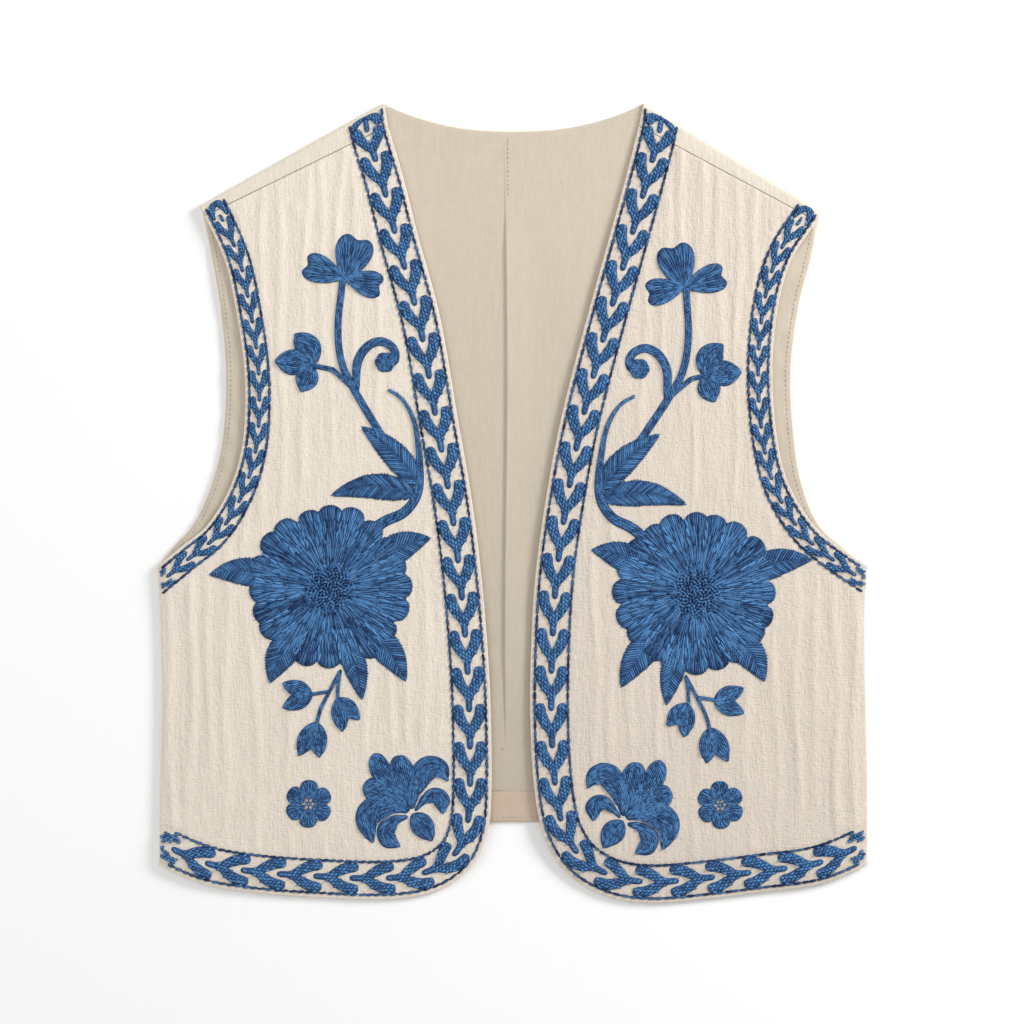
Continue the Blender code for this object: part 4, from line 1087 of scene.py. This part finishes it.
def placed(points, place, side):
    """Points of the left front's motif, mirrored on the right, at their place."""
    points = np.atleast_2d(np.array(points, float))
    across = points[:, 0] * -side
    turn = math.radians(place.turn)
    return np.column_stack([
        place.across + across * math.cos(turn) - points[:, 1] * math.sin(turn),
        place.height + across * math.sin(turn) + points[:, 1] * math.cos(turn),
    ])


def leaf_lines(base, tip, width, bend, fullness, step=1.3):
    """The spine of a leaf and its half width along it."""
    base, tip = np.array(base, float), np.array(tip, float)
    run = tip - base
    out = np.array([-run[1], run[0]]) / np.linalg.norm(run)
    share = np.linspace(0, 1, max(6, round(float(np.linalg.norm(run)) / step)) + 1)
    spine = base + np.outer(share, run) + np.outer(bend * np.sin(np.pi * share), out)
    half = width / 2 * np.sin(np.pi * share ** fullness) ** 0.8
    half[0] = half[-1] = 0.0
    return spine, half


def fishbone(work, spine, half, slant=1.0, height=0.55):
    """A leaf: stitches slant from the vein out and forward to both edges."""
    out = sideways(directions(spine))
    bed = np.maximum(half - 0.5, half * 0.5)[:, None]
    work.pad(np.vstack([spine + out * bed, (spine - out * bed)[-2:0:-1]]), height)
    reach = measured(spine)
    marks = np.arange(0.5, reach[-1], STRAND_GAP * math.hypot(1, slant) / slant * 0.95)
    for way in (-1, 1):
        ahead = marks
        for _ in range(3):
            ahead = np.minimum(marks + slant * np.interp(ahead, reach, half), reach[-1])
        start = sampled(marks, reach, spine)
        wide = way * np.interp(ahead, reach, half) * work.random.uniform(0.97, 1.06, len(marks))
        end = sampled(ahead, reach, spine) + sampled(ahead, reach, out) * wide[:, None]
        start = start - (end - start) * 0.06
        long = np.linalg.norm(end - start, axis=1) > 1.6
        work.stitch(start[long], end[long], STRAND, PLAIN_TONE, lift=height * 0.75)


def fan(work, base, tip, width, notch=0.0, height=0.55):
    """A petal: stitches spread from its base to a round or heart-shaped end."""
    base, tip = np.array(base, float), np.array(tip, float)
    length = float(np.linalg.norm(tip - base))
    aim = math.atan2(*(tip - base)[::-1])
    spread = 1.16 * math.atan2(width / 2, 0.64 * length)
    angle = np.sin(np.linspace(-1, 1, 61) * math.pi / 2) * spread

    def reach_at(angle):
        reach = length * np.maximum(0, 1 - np.abs(angle / spread) ** 3.0) ** 0.5
        return reach * (1 - notch * np.exp(-(angle / spread / 0.24) ** 2)) / (1 - notch * 0.3)

    def spot(angle, reach):
        way = np.column_stack([np.cos(angle + aim), np.sin(angle + aim)])
        return base + way * np.reshape(reach, (-1, 1))

    rim = evened(spot(angle, reach_at(angle)), STRAND_GAP)
    work.pad(evened(rim, 2.0)[:-1], height)
    away = rim - base
    jitter = work.random.uniform(-0.06, 0.06, (3, len(rim)))
    rows = ((0.50, 0.995, 1), (0.28, 0.60, 2), (0.04, 0.36, 4))
    for (start, end, every), shake in zip(rows, jitter):
        pick = slice(0, None, every)
        if every == 1:
            shake = shake + 0.24 * (np.arange(len(rim)) % 2)
        first = base + away[pick] * (start + shake[pick])[:, None]
        last = base + away[pick] * (end + shake[pick] * (every > 1))[:, None]
        long = np.linalg.norm(last - first, axis=1) > 1.2
        work.stitch(first[long], last[long], STRAND, PLAIN_TONE, lift=height * 0.8)


def blade(work, spine, half, height=0.6):
    """A petal whose stitches run along it from its root to its rim."""
    out = sideways(directions(spine))
    left, right = spine + out * half[:, None], spine - out * half[:, None]
    work.pad(np.vstack([left, right[-2:0:-1]]), height)
    reach = measured(spine)
    rows = max(2, round(2 * float(half.max()) / STRAND_GAP))
    for row in range(rows):
        share = (row + 0.5) / rows * 2 - 1
        marks = np.arange(work.random.uniform(0.4, 3.5), reach[-1], 4.6) + work.random.uniform(-0.8, 0.8)
        marks = np.clip(marks, 0, reach[-1] - 1.5)
        ahead = np.minimum(marks + 6.4, reach[-1] - 0.2)
        room = 2 * np.interp((marks + ahead) / 2, reach, half) / rows
        kept = (room > STRAND_GAP * (0.4 if row % 2 else 0.62)) | (abs(share) < 0.3)
        kept &= ahead - marks > 1.5
        ends = []
        for at in (marks[kept], ahead[kept]):
            off = share * np.interp(at, reach, half)
            ends.append(sampled(at, reach, spine) + sampled(at, reach, out) * off[:, None])
        if kept.any():
            work.stitch(*ends, STRAND, PLAIN_TONE, lift=height * 0.8)


def stem(work, line, widths, strand=1.7):
    """Stem stitch: rows of slanted stitches, each a little past the last."""
    line = np.array(line, float)
    reach = measured(line)
    widths = np.interp(reach, np.linspace(0, reach[-1], len(widths)), widths)
    work.pad(evened(closed(work.ribbon(line, widths)), 2.2)[:-1], 0.35)
    out = sideways(directions(line))
    rows = max(1, round(float(widths.mean()) / 1.5))
    for row in range(rows):
        marks = np.arange(1.2 * (row % 2), reach[-1] - 1.5, 2.6)
        share = (row + 0.5) / rows * 2 - 1
        ends = []
        for at, lean in ((marks, -0.22), (np.minimum(marks + 5.0, reach[-1]), 0.22)):
            off = np.interp(at, reach, widths) / 2 * np.clip(share * 0.8 + lean, -0.92, 0.92)
            ends.append(sampled(at, reach, line) + sampled(at, reach, out) * off[:, None])
        thick = np.minimum(strand, np.interp(marks, reach, widths) + 0.4)
        work.stitch(*ends, thick, STEM_TONE, lift=0.35)


def along_line(line, distance):
    """The points of a line at these distances along it, and its directions there."""
    reach = measured(line)
    distance = np.clip(distance, 0, reach[-1])
    run = sampled(distance, reach, directions(line))
    return sampled(distance, reach, line), run / np.linalg.norm(run, axis=1)[:, None]


def border(work, edge, hand, band, strip):
    """Two rows of running stitch with plaited chevrons between them, spaced along the band's middle."""
    pitch, top, rail = band.pitch, band.top, band.half - 1.3
    first = OVERRUN + strip - BAND_FOLD_GAP + band.start

    def inward(line, length):
        return sideways(along_line(line, np.minimum(measured(line), length - band.run_out))[1]) * hand

    middle = evened(edge + inward(edge, measured(edge)[-1]) * band.inset, 4.0)
    limit = measured(middle)[-1]
    middle = np.vstack([middle, middle[-1] + directions(middle)[-1] * 2 * pitch])
    reach, ways = measured(middle), inward(middle, limit)

    def spot(distance, out):
        distance, out = np.broadcast_arrays(np.atleast_1d(distance), out)
        return sampled(distance, reach, middle) - sampled(distance, reach, ways) * out[:, None]

    for way in (-1, 1):
        marks = np.arange(0.0, limit - 7.0, 5.4)
        marks = marks + work.random.uniform(-0.4, 0.4, len(marks))
        out = np.full(len(marks), way * (band.half - 0.9))
        work.stitch(spot(marks, out - 0.2), spot(marks + 6.0, out + 0.2), 2.1, RAIL_TONE, lift=0.2)
    steps = range(1, math.ceil((limit - first) / pitch) + 1)
    begins = [first + pitch * k - HEM_GATHER * max(0, k - HEM_TURN) for k in steps]
    shapes = [(begin, CHEVRON) for begin in begins if begin < limit]
    shapes.append((first, [(top + (1 - top / CHEVRON[-1][0]) * x, y) for x, y in CHEVRON]))
    shapes.append((first + top * pitch, ARCH_TAIL))
    for begin, half_shape in shapes:
        local = smooth([(x * pitch, y * rail) for x, y in half_shape], 1.5)
        plaited(work, np.vstack([local, local[::-1] * (1, -1)]), begin, spot, band.gap)
    ends = np.array([(x, y * rail) for x, y in ARCH + [(x, -y) for x, y in ARCH[::-1]]])
    begin = first + top * pitch
    base, back = (work.past_fold(spot(at, ends[:, 1])) for at in (begin, begin - 1.0))
    ends[:, 0] *= (-FOLD_LIMIT - base) / (back - base)
    plaited(work, smooth(ends, 1.5), begin, spot, band.gap * 0.9)


def plaited(work, local, begin, spot, gap):
    """A plaited shape: a plump bed, and columns of short stitches that lean left and right by turns."""
    def place(points):
        return spot(begin + points[:, 0], points[:, 1])

    local = local[np.linalg.norm(local - np.roll(local, 1, axis=0), axis=1) > 0.3]
    outline = place(local)
    if work.on_cloth(outline).all():
        work.pad(outline, 0.75, spacing=2.4)
    low, high = local.min(0), local.max(0)
    step = gap * 1.35
    for column in range(math.floor(low[1] / gap), math.ceil(high[1] / gap) + 1):
        marks = np.arange(low[0] + step * (0.25 + 0.5 * (column % 2)), high[0], step)
        at = np.column_stack([marks, np.full(len(marks), column * gap)])
        at = at[inside(at, local)]
        at = at[nearest(at, closed(local))[0] > gap * 0.34]
        if len(at):
            lean = np.array([gap * 0.82, gap * (0.42 if column % 2 else -0.42)])
            work.stitch(place(at - lean), place(at + lean), gap * 0.98, PLAIT_TONE, lift=0.62)


def running(work, line, pitch):
    """Running stitch in sewing thread."""
    marks = np.arange(pitch / 2, measured(line)[-1] - SEAM_STITCH, pitch)
    ends = (along_line(line, at)[0] for at in (marks, marks + SEAM_STITCH))
    work.stitch(*ends, SEAM_THREAD, SEAM_TONE)


@functools.cache
def front_top(side):
    """The top face of a front, looked up from a fine table of heights for speed."""
    step = 1.5
    xs = np.arange(-255.0, 1.0, step) if side < 0 else np.arange(0.0, 256.0, step)
    ys = np.arange(-290.0, 285.0, step)
    grid_x, grid_y = np.meshgrid(xs, ys)
    points = np.column_stack([grid_x.ravel(), grid_y.ravel()])
    heights = (front_height(points, side) + FRONT_WALL / 2).reshape(grid_x.shape)

    def top(points):
        a = np.clip((points[:, 0] - xs[0]) / step, 0, len(xs) - 1.001)
        b = np.clip((points[:, 1] - ys[0]) / step, 0, len(ys) - 1.001)
        i, j = a.astype(int), b.astype(int)
        a, b = a - i, b - j
        low = heights[j, i] * (1 - a) + heights[j, i + 1] * a
        high = heights[j + 1, i] * (1 - a) + heights[j + 1, i + 1] * a
        start, _ = shoulder_seam(side, 0.0)
        over = (points - start) @ shoulder_frame(side)[2]
        strip = SHELL_WALL + 2 * FOLD_RADIUS
        return np.where(over > 0, strip, low * (1 - b) + high * b)

    return top


def turned(angle):
    """Unit directions at these angles."""
    return np.column_stack([np.cos(angle), np.sin(angle)])


def flower(work, at):
    """The big flower: two rings of long-and-short petals, a heart of seeds, and five leaves behind."""
    for row in FLOWER_LEAVES:
        angle = math.radians(row.left_direction if work.side < 0 else row.right_direction)
        way = np.array([math.cos(angle), math.sin(angle)])
        spine, half = leaf_lines(way * FLOWER_RADIUS * 0.62, way * row.reach, row.width, row.bend, 0.8)
        fishbone(work, at(spine), half, slant=0.9)
    random, circle = work.random, 2 * math.pi

    def petals(count, shift, stray, radius, spread, *rest):
        turns = circle * (np.arange(count) + shift + random.uniform(-stray, stray, count)) / count
        return Ring(turns, radius + random.uniform(-spread, spread, count), *rest)

    outer = petals(FLOWER_SCALLOPS, 0.0, 0.14, FLOWER_RADIUS, 1.6, 27.0, 4.4, 0.0, 4)
    inner = petals(FLOWER_INNER, 0.3, 0.16, FLOWER_INNER_RADIUS, 2.0, 14.0, 4.0, 0.5, 2)

    def from_petal(angle, turns):
        return (angle - turns + math.pi) % circle - math.pi

    def ring_reach(angle, ring):
        order = np.abs(from_petal(angle[:, None], ring.turns[None]))
        k = order.argmin(1)
        share = np.clip(order[np.arange(len(angle)), k] / (math.pi / len(ring.turns)), 0, 1)
        return ring.lengths[k] + ring.depth * (1.35 * np.sqrt(np.maximum(0, 1 - share ** 2)) - 1), share, k

    def polar(angle, reach):
        return at(turned(angle) * np.reshape(reach, (-1, 1)))

    angle = np.linspace(0, circle, 241)[:-1]
    work.pad(polar(angle, ring_reach(angle, outer)[0] - 0.4), 0.6, spacing=3.2)
    for ring in (outer, inner):
        for row in range(ring.rows):
            mean = float(ring.lengths.mean())
            mean -= row * (mean - ring.start) / ring.rows
            count = int(circle * mean / STRAND_GAP)
            angle = circle * (np.arange(count) + random.uniform(-0.3, 0.3, count)) / count
            reach, share, k = ring_reach(angle, ring)
            span = (reach - ring.start) / ring.rows
            last = reach - row * span + (random.uniform(-0.45, 0.45, count) * span if row else 0.0)
            first = last - span * (1.0 if row == ring.rows - 1 else 1.35) - random.uniform(0, 3.0, count)
            lean = from_petal(angle, ring.turns[k]) * 0.10
            lift = 0.42 + ring.lift + 0.32 * (1 - share ** 3)
            tone = PLAIN_TONE + 0.08 * np.sin(k * 2.1)
            work.stitch(polar(angle - lean, first), polar(angle, last), STRAND, tone, lift=lift)
    # Light stitches down the notches between the outer petals: a painted highlight along the petals' edges.
    for k in range(FLOWER_SCALLOPS):
        after = outer.turns[(k + 1) % FLOWER_SCALLOPS] + circle * (k == FLOWER_SCALLOPS - 1)
        reach = outer.lengths[k] - outer.depth - np.array([-0.5, 6.0, 12.5])
        angle = (outer.turns[k] + after) / 2 + random.uniform(-0.02, 0.02, 3)
        work.stitch(polar(angle + 0.03, reach - 7.0), polar(angle, reach), 1.7, NOTCH_TONE, lift=0.95)
    k = np.arange(HEART_SEEDS)
    share = np.sqrt((k + 0.5) / HEART_SEEDS)
    centre = polar(k * math.pi * (3 - math.sqrt(5)), HEART_RADIUS * share)
    step = turned(random.uniform(0, math.pi, HEART_SEEDS)) * 1.6
    work.stitch(centre - step, centre + step, 2.0, PLAIN_TONE, lift=1.25 + 0.25 * (1 - share ** 2))


def spray(work, at):
    """The spray: curved stem, two leaves, a curl, a bud and a clover blossom."""
    stem(work, at(smooth([(-6.0, -1.5)] + MAIN_STEM, 3.0)), [8.2, 7.6, 6.6, 5.4, 3.6, 2.2, 1.2])
    stem(work, at(smooth(UPPER_STEM, 3.0)), [5.6, 5.2, 4.8])
    pull = BUD_PULL[work.side]
    twig = smooth(BUD_STEM, 30.0)
    twig[2, 0] += pull
    stem(work, at(twig), [3.6, 3.8])
    stem(work, at(smooth(CURL, 2.4)), [5.0, 6.4, 6.4, 6.0, 6.0])
    centre = np.array(CURL_END)
    for way in turned(np.radians(range(0, 360, 60))):
        fan(work, at(centre)[0], at(centre + way * 7.4)[0], 8.5)
    for row in SPRAY_LEAVES:
        spine, half = leaf_lines(*row, 0.78)
        fishbone(work, at(spine), half, slant=1.1)
    for row in CLOVER_PETALS:
        fan(work, at(row.base)[0], at(row.tip)[0], row.width, row.shape)
    for row in BUD_PETALS:
        spine, half = leaf_lines(*row, 1.0)
        blade(work, at(spine + (pull, 0.0)), half)


def sprig(work, at):
    """Three small buds on forked stems."""
    for line in SPRIG_STEMS:
        stem(work, at(smooth(line, 2.4)), [2.5, 2.5], strand=1.5)
    for row in SPRIG_PETALS:
        spine, half = leaf_lines(*row, 0.92)
        blade(work, at(spine), half)


def small_flower(work, at):
    """A six-lobed flower with a speckled eye."""
    for way in turned(np.radians(range(28, 388, 60))):
        fan(work, at(way * 3.2)[0], at(way * 17.0)[0], 15.5)
        work.stitch(at(way * 0.4), at(way * 3.0), 1.5, PLAIN_TONE)


def palmette(work, at):
    """A half-open palmette: broad petals above, two curled ones below and a drop."""
    for points, widths in PALMETTE:
        line = evened(smooth(points, 1.2), 1.2)
        share = np.linspace(0, 1, len(line))
        half = np.interp(share, np.linspace(0, 1, len(widths)), widths) / 2
        half = half * np.sqrt(np.clip(1 - ((share - 0.84) / 0.16).clip(0, 1) ** 2, 0, 1))
        half[0] = half[-1] = 0.0
        blade(work, at(line), half)
    spine, half = leaf_lines(*PALMETTE_DROP, 0.85)
    blade(work, at(spine), half)


MOTIFS = {make.__name__: make for make in (flower, spray, sprig, small_flower, palmette)}


def motif(name, side, seed):
    """One motif, sewn at its place on a front."""
    work = Needlework(side, front_top(side), seed)
    MOTIFS[name](work, lambda points: placed(points, PLACES[name][side], side))
    return work


def strip_run(side, end):
    """The start of a border's edge line, on the shoulder strip: end 0 is at the neck and 1 at the tip."""
    row = SHOULDERS[side]
    corner = np.array([(row.neck_across, row.neck_height), (row.tip_across, row.tip_height)][end])
    corner = corner - shoulder_frame(side)[2] * BAND_FOLD_GAP
    seam = shoulder_seam(side, SEAM_GAP)[end]
    return [corner + (corner - seam) / np.linalg.norm(corner - seam) * OVERRUN, corner]


def border_front(side):
    work = Needlework(side, front_top(side), 601 + side)
    edge = front_edge_line(side, 4.0, strip_run(side, 0))
    border(work, edge, side, FRONT_BAND, SHOULDERS[side].neck_strip)
    return work


def border_armhole(side):
    work = Needlework(side, front_top(side), 701 + side)
    corner = np.array([UNDERARM.right * side, UNDERARM.height])
    past = corner + (corner - np.array(along(FRONT_ARMHOLE, side)[-1])) * 0.6
    edge = armhole_line(side, 4.0, strip_run(side, 1), [past])
    border(work, edge, -side, ARM_BAND, SHOULDERS[side].tip_strip)
    return work


def back_seams():
    """The sewing that shows on the lining: round the armholes, down the pleat and along the hem."""
    def top(points):
        facing = points[:, 1] < hem_height(points[:, 0]) + FACING_DEPTH
        below, above = (place(points, LINING_WALL / 2)[:, 2] for place in (facing_place, lining_place))
        return np.where(facing, below, above) + 0.05

    work = Needlework(0, top, 801)
    for side in (-1, 1):
        tip = shoulder_frame(side)[1]
        edge = smooth([tip] + along(BACK_ARMHOLE, side), 2.5)[3:] - np.array([side * 4.0, 0.0])
        running(work, edge, SEAM_PITCH)
    running(work, hem_line(HALF_WIDTH - SIDE_ROLL, 4.0, 2.5), SEAM_PITCH)
    pleat = np.array([(PLEAT_ACROSS + 2.0, 260.0), (PLEAT_ACROSS + 2.2, 217.0)])
    running(work, pleat, PLEAT_SEAM_PITCH)
    work.stitch(np.array([(-8.4, -174.6)]), np.array([(-4.4, -174.0)]), 0.9, SEAM_TONE)
    return work


def front_outline(side):
    neck, tip = shoulder_seam(side, SEAM_GAP)
    seam = np.linspace(neck, tip, 60)[:-1]
    body = smooth(along([UNDERARM] + SIDE + [SIDE_HEM], side), 2.5)[1:-1]
    return np.vstack([seam, armhole_line(side, 2.5), body, front_edge_line(side, 2.5)[1:][::-1]])


def hem_line(half, lift, step):
    x = np.linspace(-half, half, round(2 * half / step) + 1)
    return np.column_stack([x, hem_height(x) + lift])


def neck_line(inset):
    left, right = shoulder_frame(-1)[0], shoulder_frame(1)[0]
    share = np.linspace(-1, 1, 72)
    across = (left[0] + inset) * (1 - share) / 2 + (right[0] - inset) * (1 + share) / 2
    return np.column_stack([across, left[1] - inset - NECK_DEPTH * (1 - np.abs(share) ** NECK_FLATNESS)])


def back_outline():
    half = {}
    for side in (-1, 1):
        row = SHOULDERS[side]
        neck, tip, out = shoulder_frame(side)
        length = math.pi * FOLD_RADIUS - FOLD_RADIUS - SHELL_WALL / 2
        lean = (tip - neck) / np.linalg.norm(tip - neck) * NECK_LEAN
        neck_end = neck + out * (length + row.neck_strip) + lean
        tip_end = tip + out * (length + row.tip_strip)
        arm = smooth([tip] + along(BACK_ARMHOLE + [UNDERARM], side), 2.5)[1:]
        body = smooth(along([UNDERARM] + SIDE + [SIDE_HEM], side), 2.5)[1:-1]
        half[side] = np.vstack([
            evened(np.array([neck, neck_end]), 1.2)[1:], evened(np.array([neck_end, tip_end]), 2.5)[1:],
            evened(np.array([tip_end, tip]), 1.2)[1:], arm, body,
        ])
    return np.vstack([neck_line(0.0), half[1], hem_line(HALF_WIDTH - 1.0, 0.0, 2.5)[::-1], half[-1][::-1]])


def lining_outline():
    limit = HALF_WIDTH - SIDE_ROLL / 2
    half = {}
    for side in (-1, 1):
        _, tip, out = shoulder_frame(side)
        start = tip - out * LINING_INSET - np.array([side * LINING_INSET, 0])
        edge = smooth([start] + along(BACK_ARMHOLE + [UNDERARM], side), 2.5)
        edge = edge - np.array([side * LINING_INSET, 0])
        edge = edge[np.abs(edge[:, 0]) < limit]
        low = hem_height(limit) + FACING_DEPTH + SEAM_GAP + 4
        down = evened(np.array([(side * limit, UNDERARM.height - 3), (side * limit, low)]), 3.0)
        half[side] = np.vstack([edge, down])
    bottom = hem_line(limit, FACING_DEPTH + SEAM_GAP, 3.0)
    bottom[:, 1] += 0.7 * soft_noise(bottom[:, 0] / 13, np.full(len(bottom), 0.5), 81) - 0.9
    return np.vstack([neck_line(LINING_INSET), half[1], bottom[::-1], half[-1][::-1]])


def facing_outline():
    half = HALF_WIDTH - SIDE_ROLL / 2
    return np.vstack([hem_line(half, LINING_INSET, 3.0), hem_line(half, FACING_DEPTH - 0.5, 3.0)[::-1]])


def setting(name, description, default, low, high, **kind):
    return bpy.props.FloatProperty(
        name=name, description=description, default=default, min=low, max=high, **kind)


SHARE = {"subtype": "FACTOR"}
DISTANCE = {"unit": "LENGTH", "subtype": "DISTANCE"}


class WaistcoatSettings(bpy.types.PropertyGroup):
    """Sizes that a user may change before building the waistcoat."""

    thread_thickness: setting(
        "Thread thickness", "Thickness of each stitch against its planned width", 1.0, 0.3, 2.0, **SHARE)
    thread_unevenness: setting(
        "Thread unevenness", "How much the stitches differ in thickness", 0.08, 0.0, 0.4, **SHARE)
    seam_allowance: setting(
        "Seam allowance", "Cloth added round each cut piece", 0.01, 0.0, 0.03, **DISTANCE)
    facing_allowance: setting(
        "Facing allowance", "Cloth added round the narrow hem facing", 0.003, 0.0, 0.02, **DISTANCE)
    cloth_spacing: setting(
        "Cloth mesh spacing", "Distance between the points of the fronts' cloth", 0.0019, 0.001, 0.02,
        **DISTANCE)
    frame_width: setting(
        "Picture width", "Width of the table that the camera sees", 0.727, 0.1, 3.0, **DISTANCE)


def fold_rows():
    """Rows of points along the shoulder folds, close enough to keep them round."""
    rows = []
    for side in (-1, 1):
        neck, tip, out = shoulder_frame(side)
        share = np.linspace(0, 1, 60)[:, None]
        line = neck * (1 - share) + tip * share
        rows += [line + out * past for past in np.linspace(-0.6, math.pi * FOLD_RADIUS + 0.6, 15)]
    return np.vstack(rows)


def pleat_rows():
    """Rows of points along the edge of the ease pleat, which keep it crisp."""
    y = np.arange(PLEAT_TOP, PLEAT_BOTTOM, -2.5)
    x = PLEAT_ACROSS + 0.8 * np.sin(y / 60)
    return np.vstack([np.column_stack([x + shift, y]) for shift in (-0.5, 0.0, 0.3, 0.6, 1.2, 2.4)])


class WAISTCOAT_OT_back(bpy.types.Operator):
    """Makes the back of crinkled cotton, folded forward over the shoulders"""

    bl_idname = "waistcoat.back"
    bl_label = "Back"

    def execute(self, context):
        material = woven_cotton("crinkled_cotton_back", BACK_CREAM, 0.5, 0.9, 0.5)
        cloth("cloth_back", back_outline(), back_place, SHELL_WALL, 3.0, "back_shell",
              material, context.scene.waistcoat.seam_allowance, fold_rows())
        return {"FINISHED"}


class WAISTCOAT_OT_lining(bpy.types.Operator):
    """Makes the back lining with its ease pleat, and the facing under its lower edge"""

    bl_idname = "waistcoat.lining"
    bl_label = "Lining and hem facing"

    def execute(self, context):
        # The lining is drawn up to 17 % darker towards the hem: painted shade.
        material = woven_cotton("plain_cotton_lining", LINING_CREAM, 0.18, 0.25, 0.25, hem_shade=0.83)
        cloth("lining_back", lining_outline(), lining_place, LINING_WALL, 2.6, "back_lining",
              material, context.scene.waistcoat.seam_allowance, pleat_rows())
        material = woven_cotton("plain_cotton_facing", FACING_CREAM, 0.18, 0.2, 0.25)
        cloth("facing_hem", facing_outline(), facing_place, LINING_WALL, 3.0, "back_hem_facing",
              material, context.scene.waistcoat.facing_allowance)
        stranded_thread("cream_sewing_thread", SEWING_SHADE, SEWING_CREAM)
        piece = sewn("thread_seams_back", back_seams(), bpy.data.materials["cream_sewing_thread"], 5)
        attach(piece, "root")
        return {"FINISHED"}


class WAISTCOAT_OT_fronts(bpy.types.Operator):
    """Makes the two fronts of crinkled cotton"""

    bl_idname = "waistcoat.fronts"
    bl_label = "Fronts"

    def execute(self, context):
        spacing = context.scene.waistcoat.cloth_spacing / MM
        for (side, word), code in zip(SIDES, (LEFT_CREAM, SHADED_RIGHT_CREAM)):
            # The fronts are drawn up to 7 % darker towards the hem, and the right one darker all over: both
            # painted shade.
            material = woven_cotton("crinkled_cotton_" + word, code, 0.9, 0.9, 0.6, hem_shade=0.93)
            cloth("cloth_front_" + word, front_outline(side), front_place(side), FRONT_WALL, spacing,
                  "front_" + word, material,
                  context.scene.waistcoat.seam_allowance)
        return {"FINISHED"}


class WAISTCOAT_OT_motifs(bpy.types.Operator):
    """Embroiders the flowers, sprays, sprigs and palmettes"""

    bl_idname = "waistcoat.motifs"
    bl_label = "Flower embroidery"

    def execute(self, context):
        for side, word in SIDES:
            for k, name in enumerate(MOTIFS):
                work = motif(name, side, 100 * k + 101 + side)
                thread_piece("thread_" + name + "_" + word, work, name + "_" + word, 11 + k)
        return {"FINISHED"}


class WAISTCOAT_OT_borders(bpy.types.Operator):
    """Embroiders the chevron borders along the fronts, the hem and the armholes"""

    bl_idname = "waistcoat.borders"
    bl_label = "Chevron borders"

    def execute(self, context):
        for side, word in SIDES:
            thread_piece("thread_border_front_" + word, border_front(side), "border_front_" + word, 31)
            thread_piece("thread_border_armhole_" + word, border_armhole(side), "border_armhole_" + word, 32)
        return {"FINISHED"}


class WAISTCOAT_OT_stage(bpy.types.Operator):
    """Lays the pale ground, and sets the soft lights and the camera straight above"""

    bl_idname = "waistcoat.stage"
    bl_label = "Ground, lights and camera"

    def execute(self, context):
        scene = context.scene
        mesh = bpy.data.meshes.new("ground")
        mesh.from_pydata([(-4, -4, 0), (4, -4, 0), (4, 4, 0), (-4, 4, 0)], [], [(0, 1, 2, 3)])
        mesh.materials.append(matt_paper("matt_white_paper", PAPER_WHITE))
        linked("ground", mesh)
        for name, place, size, power in (
            ("key", (1.7, 0.9, 1.0), 0.8, 36.0), ("fill", (-1.5, 0.5, 1.6), 1.6, 10.0),
            ("sky", (0.0, -0.4, 2.6), 3.0, 8.0),
        ):
            lamp = bpy.data.lights.new(name, "AREA")
            lamp.shape = "DISK"
            lamp.size = size
            lamp.energy = power
            light = linked(name, lamp)
            light.location = place
            light.rotation_euler = (-Vector(place)).to_track_quat("-Z", "Y").to_euler()
        world = bpy.data.worlds.new("soft_room")
        world.use_nodes = True
        feed(world.node_tree, world.node_tree.nodes["Background"],
             {"Color": (1.0, 1.0, 1.0, 1.0), "Strength": SKY_STRENGTH})
        scene.world = world
        scene.view_settings.view_transform = "Standard"
        lens = bpy.data.cameras.new("camera")
        lens.lens = LENS
        lens.sensor_width = SENSOR
        camera = linked("camera", lens)
        camera.location = (*CAMERA_SPOT, scene.waistcoat.frame_width * LENS / SENSOR)
        scene.camera = camera
        return {"FINISHED"}


class WAISTCOAT_PT_panel(bpy.types.Panel):
    """Lists the steps that build the waistcoat"""

    bl_idname = "WAISTCOAT_PT_panel"
    bl_label = "Waistcoat"
    bl_space_type = "VIEW_3D"
    bl_region_type = "UI"
    bl_category = "Waistcoat"

    def draw(self, context):
        for name in WaistcoatSettings.__annotations__:
            self.layout.prop(context.scene.waistcoat, name)
        for step in STEPS:
            self.layout.operator(step.bl_idname)


STEPS = (WAISTCOAT_OT_stage, WAISTCOAT_OT_back, WAISTCOAT_OT_lining, WAISTCOAT_OT_fronts,
         WAISTCOAT_OT_borders, WAISTCOAT_OT_motifs)
CLASSES = (WaistcoatSettings, *STEPS, WAISTCOAT_PT_panel)


def register():
    for kind in CLASSES:
        bpy.utils.register_class(kind)
    bpy.types.Scene.waistcoat = bpy.props.PointerProperty(type=WaistcoatSettings)


def unregister():
    del bpy.types.Scene.waistcoat
    for kind in reversed(CLASSES):
        bpy.utils.unregister_class(kind)


def main():
    register()
    stranded_thread("mercerised_blue_thread", THREAD_DARK, THREAD_LIGHT)
    bpy.ops.waistcoat.stage()
    bpy.ops.waistcoat.back()
    bpy.ops.waistcoat.lining()
    bpy.ops.waistcoat.fronts()
    bpy.ops.waistcoat.borders()
    bpy.ops.waistcoat.motifs()
    bpy.data.objects.remove(bpy.data.objects["strand"])


if __name__ == "__main__":
    main()
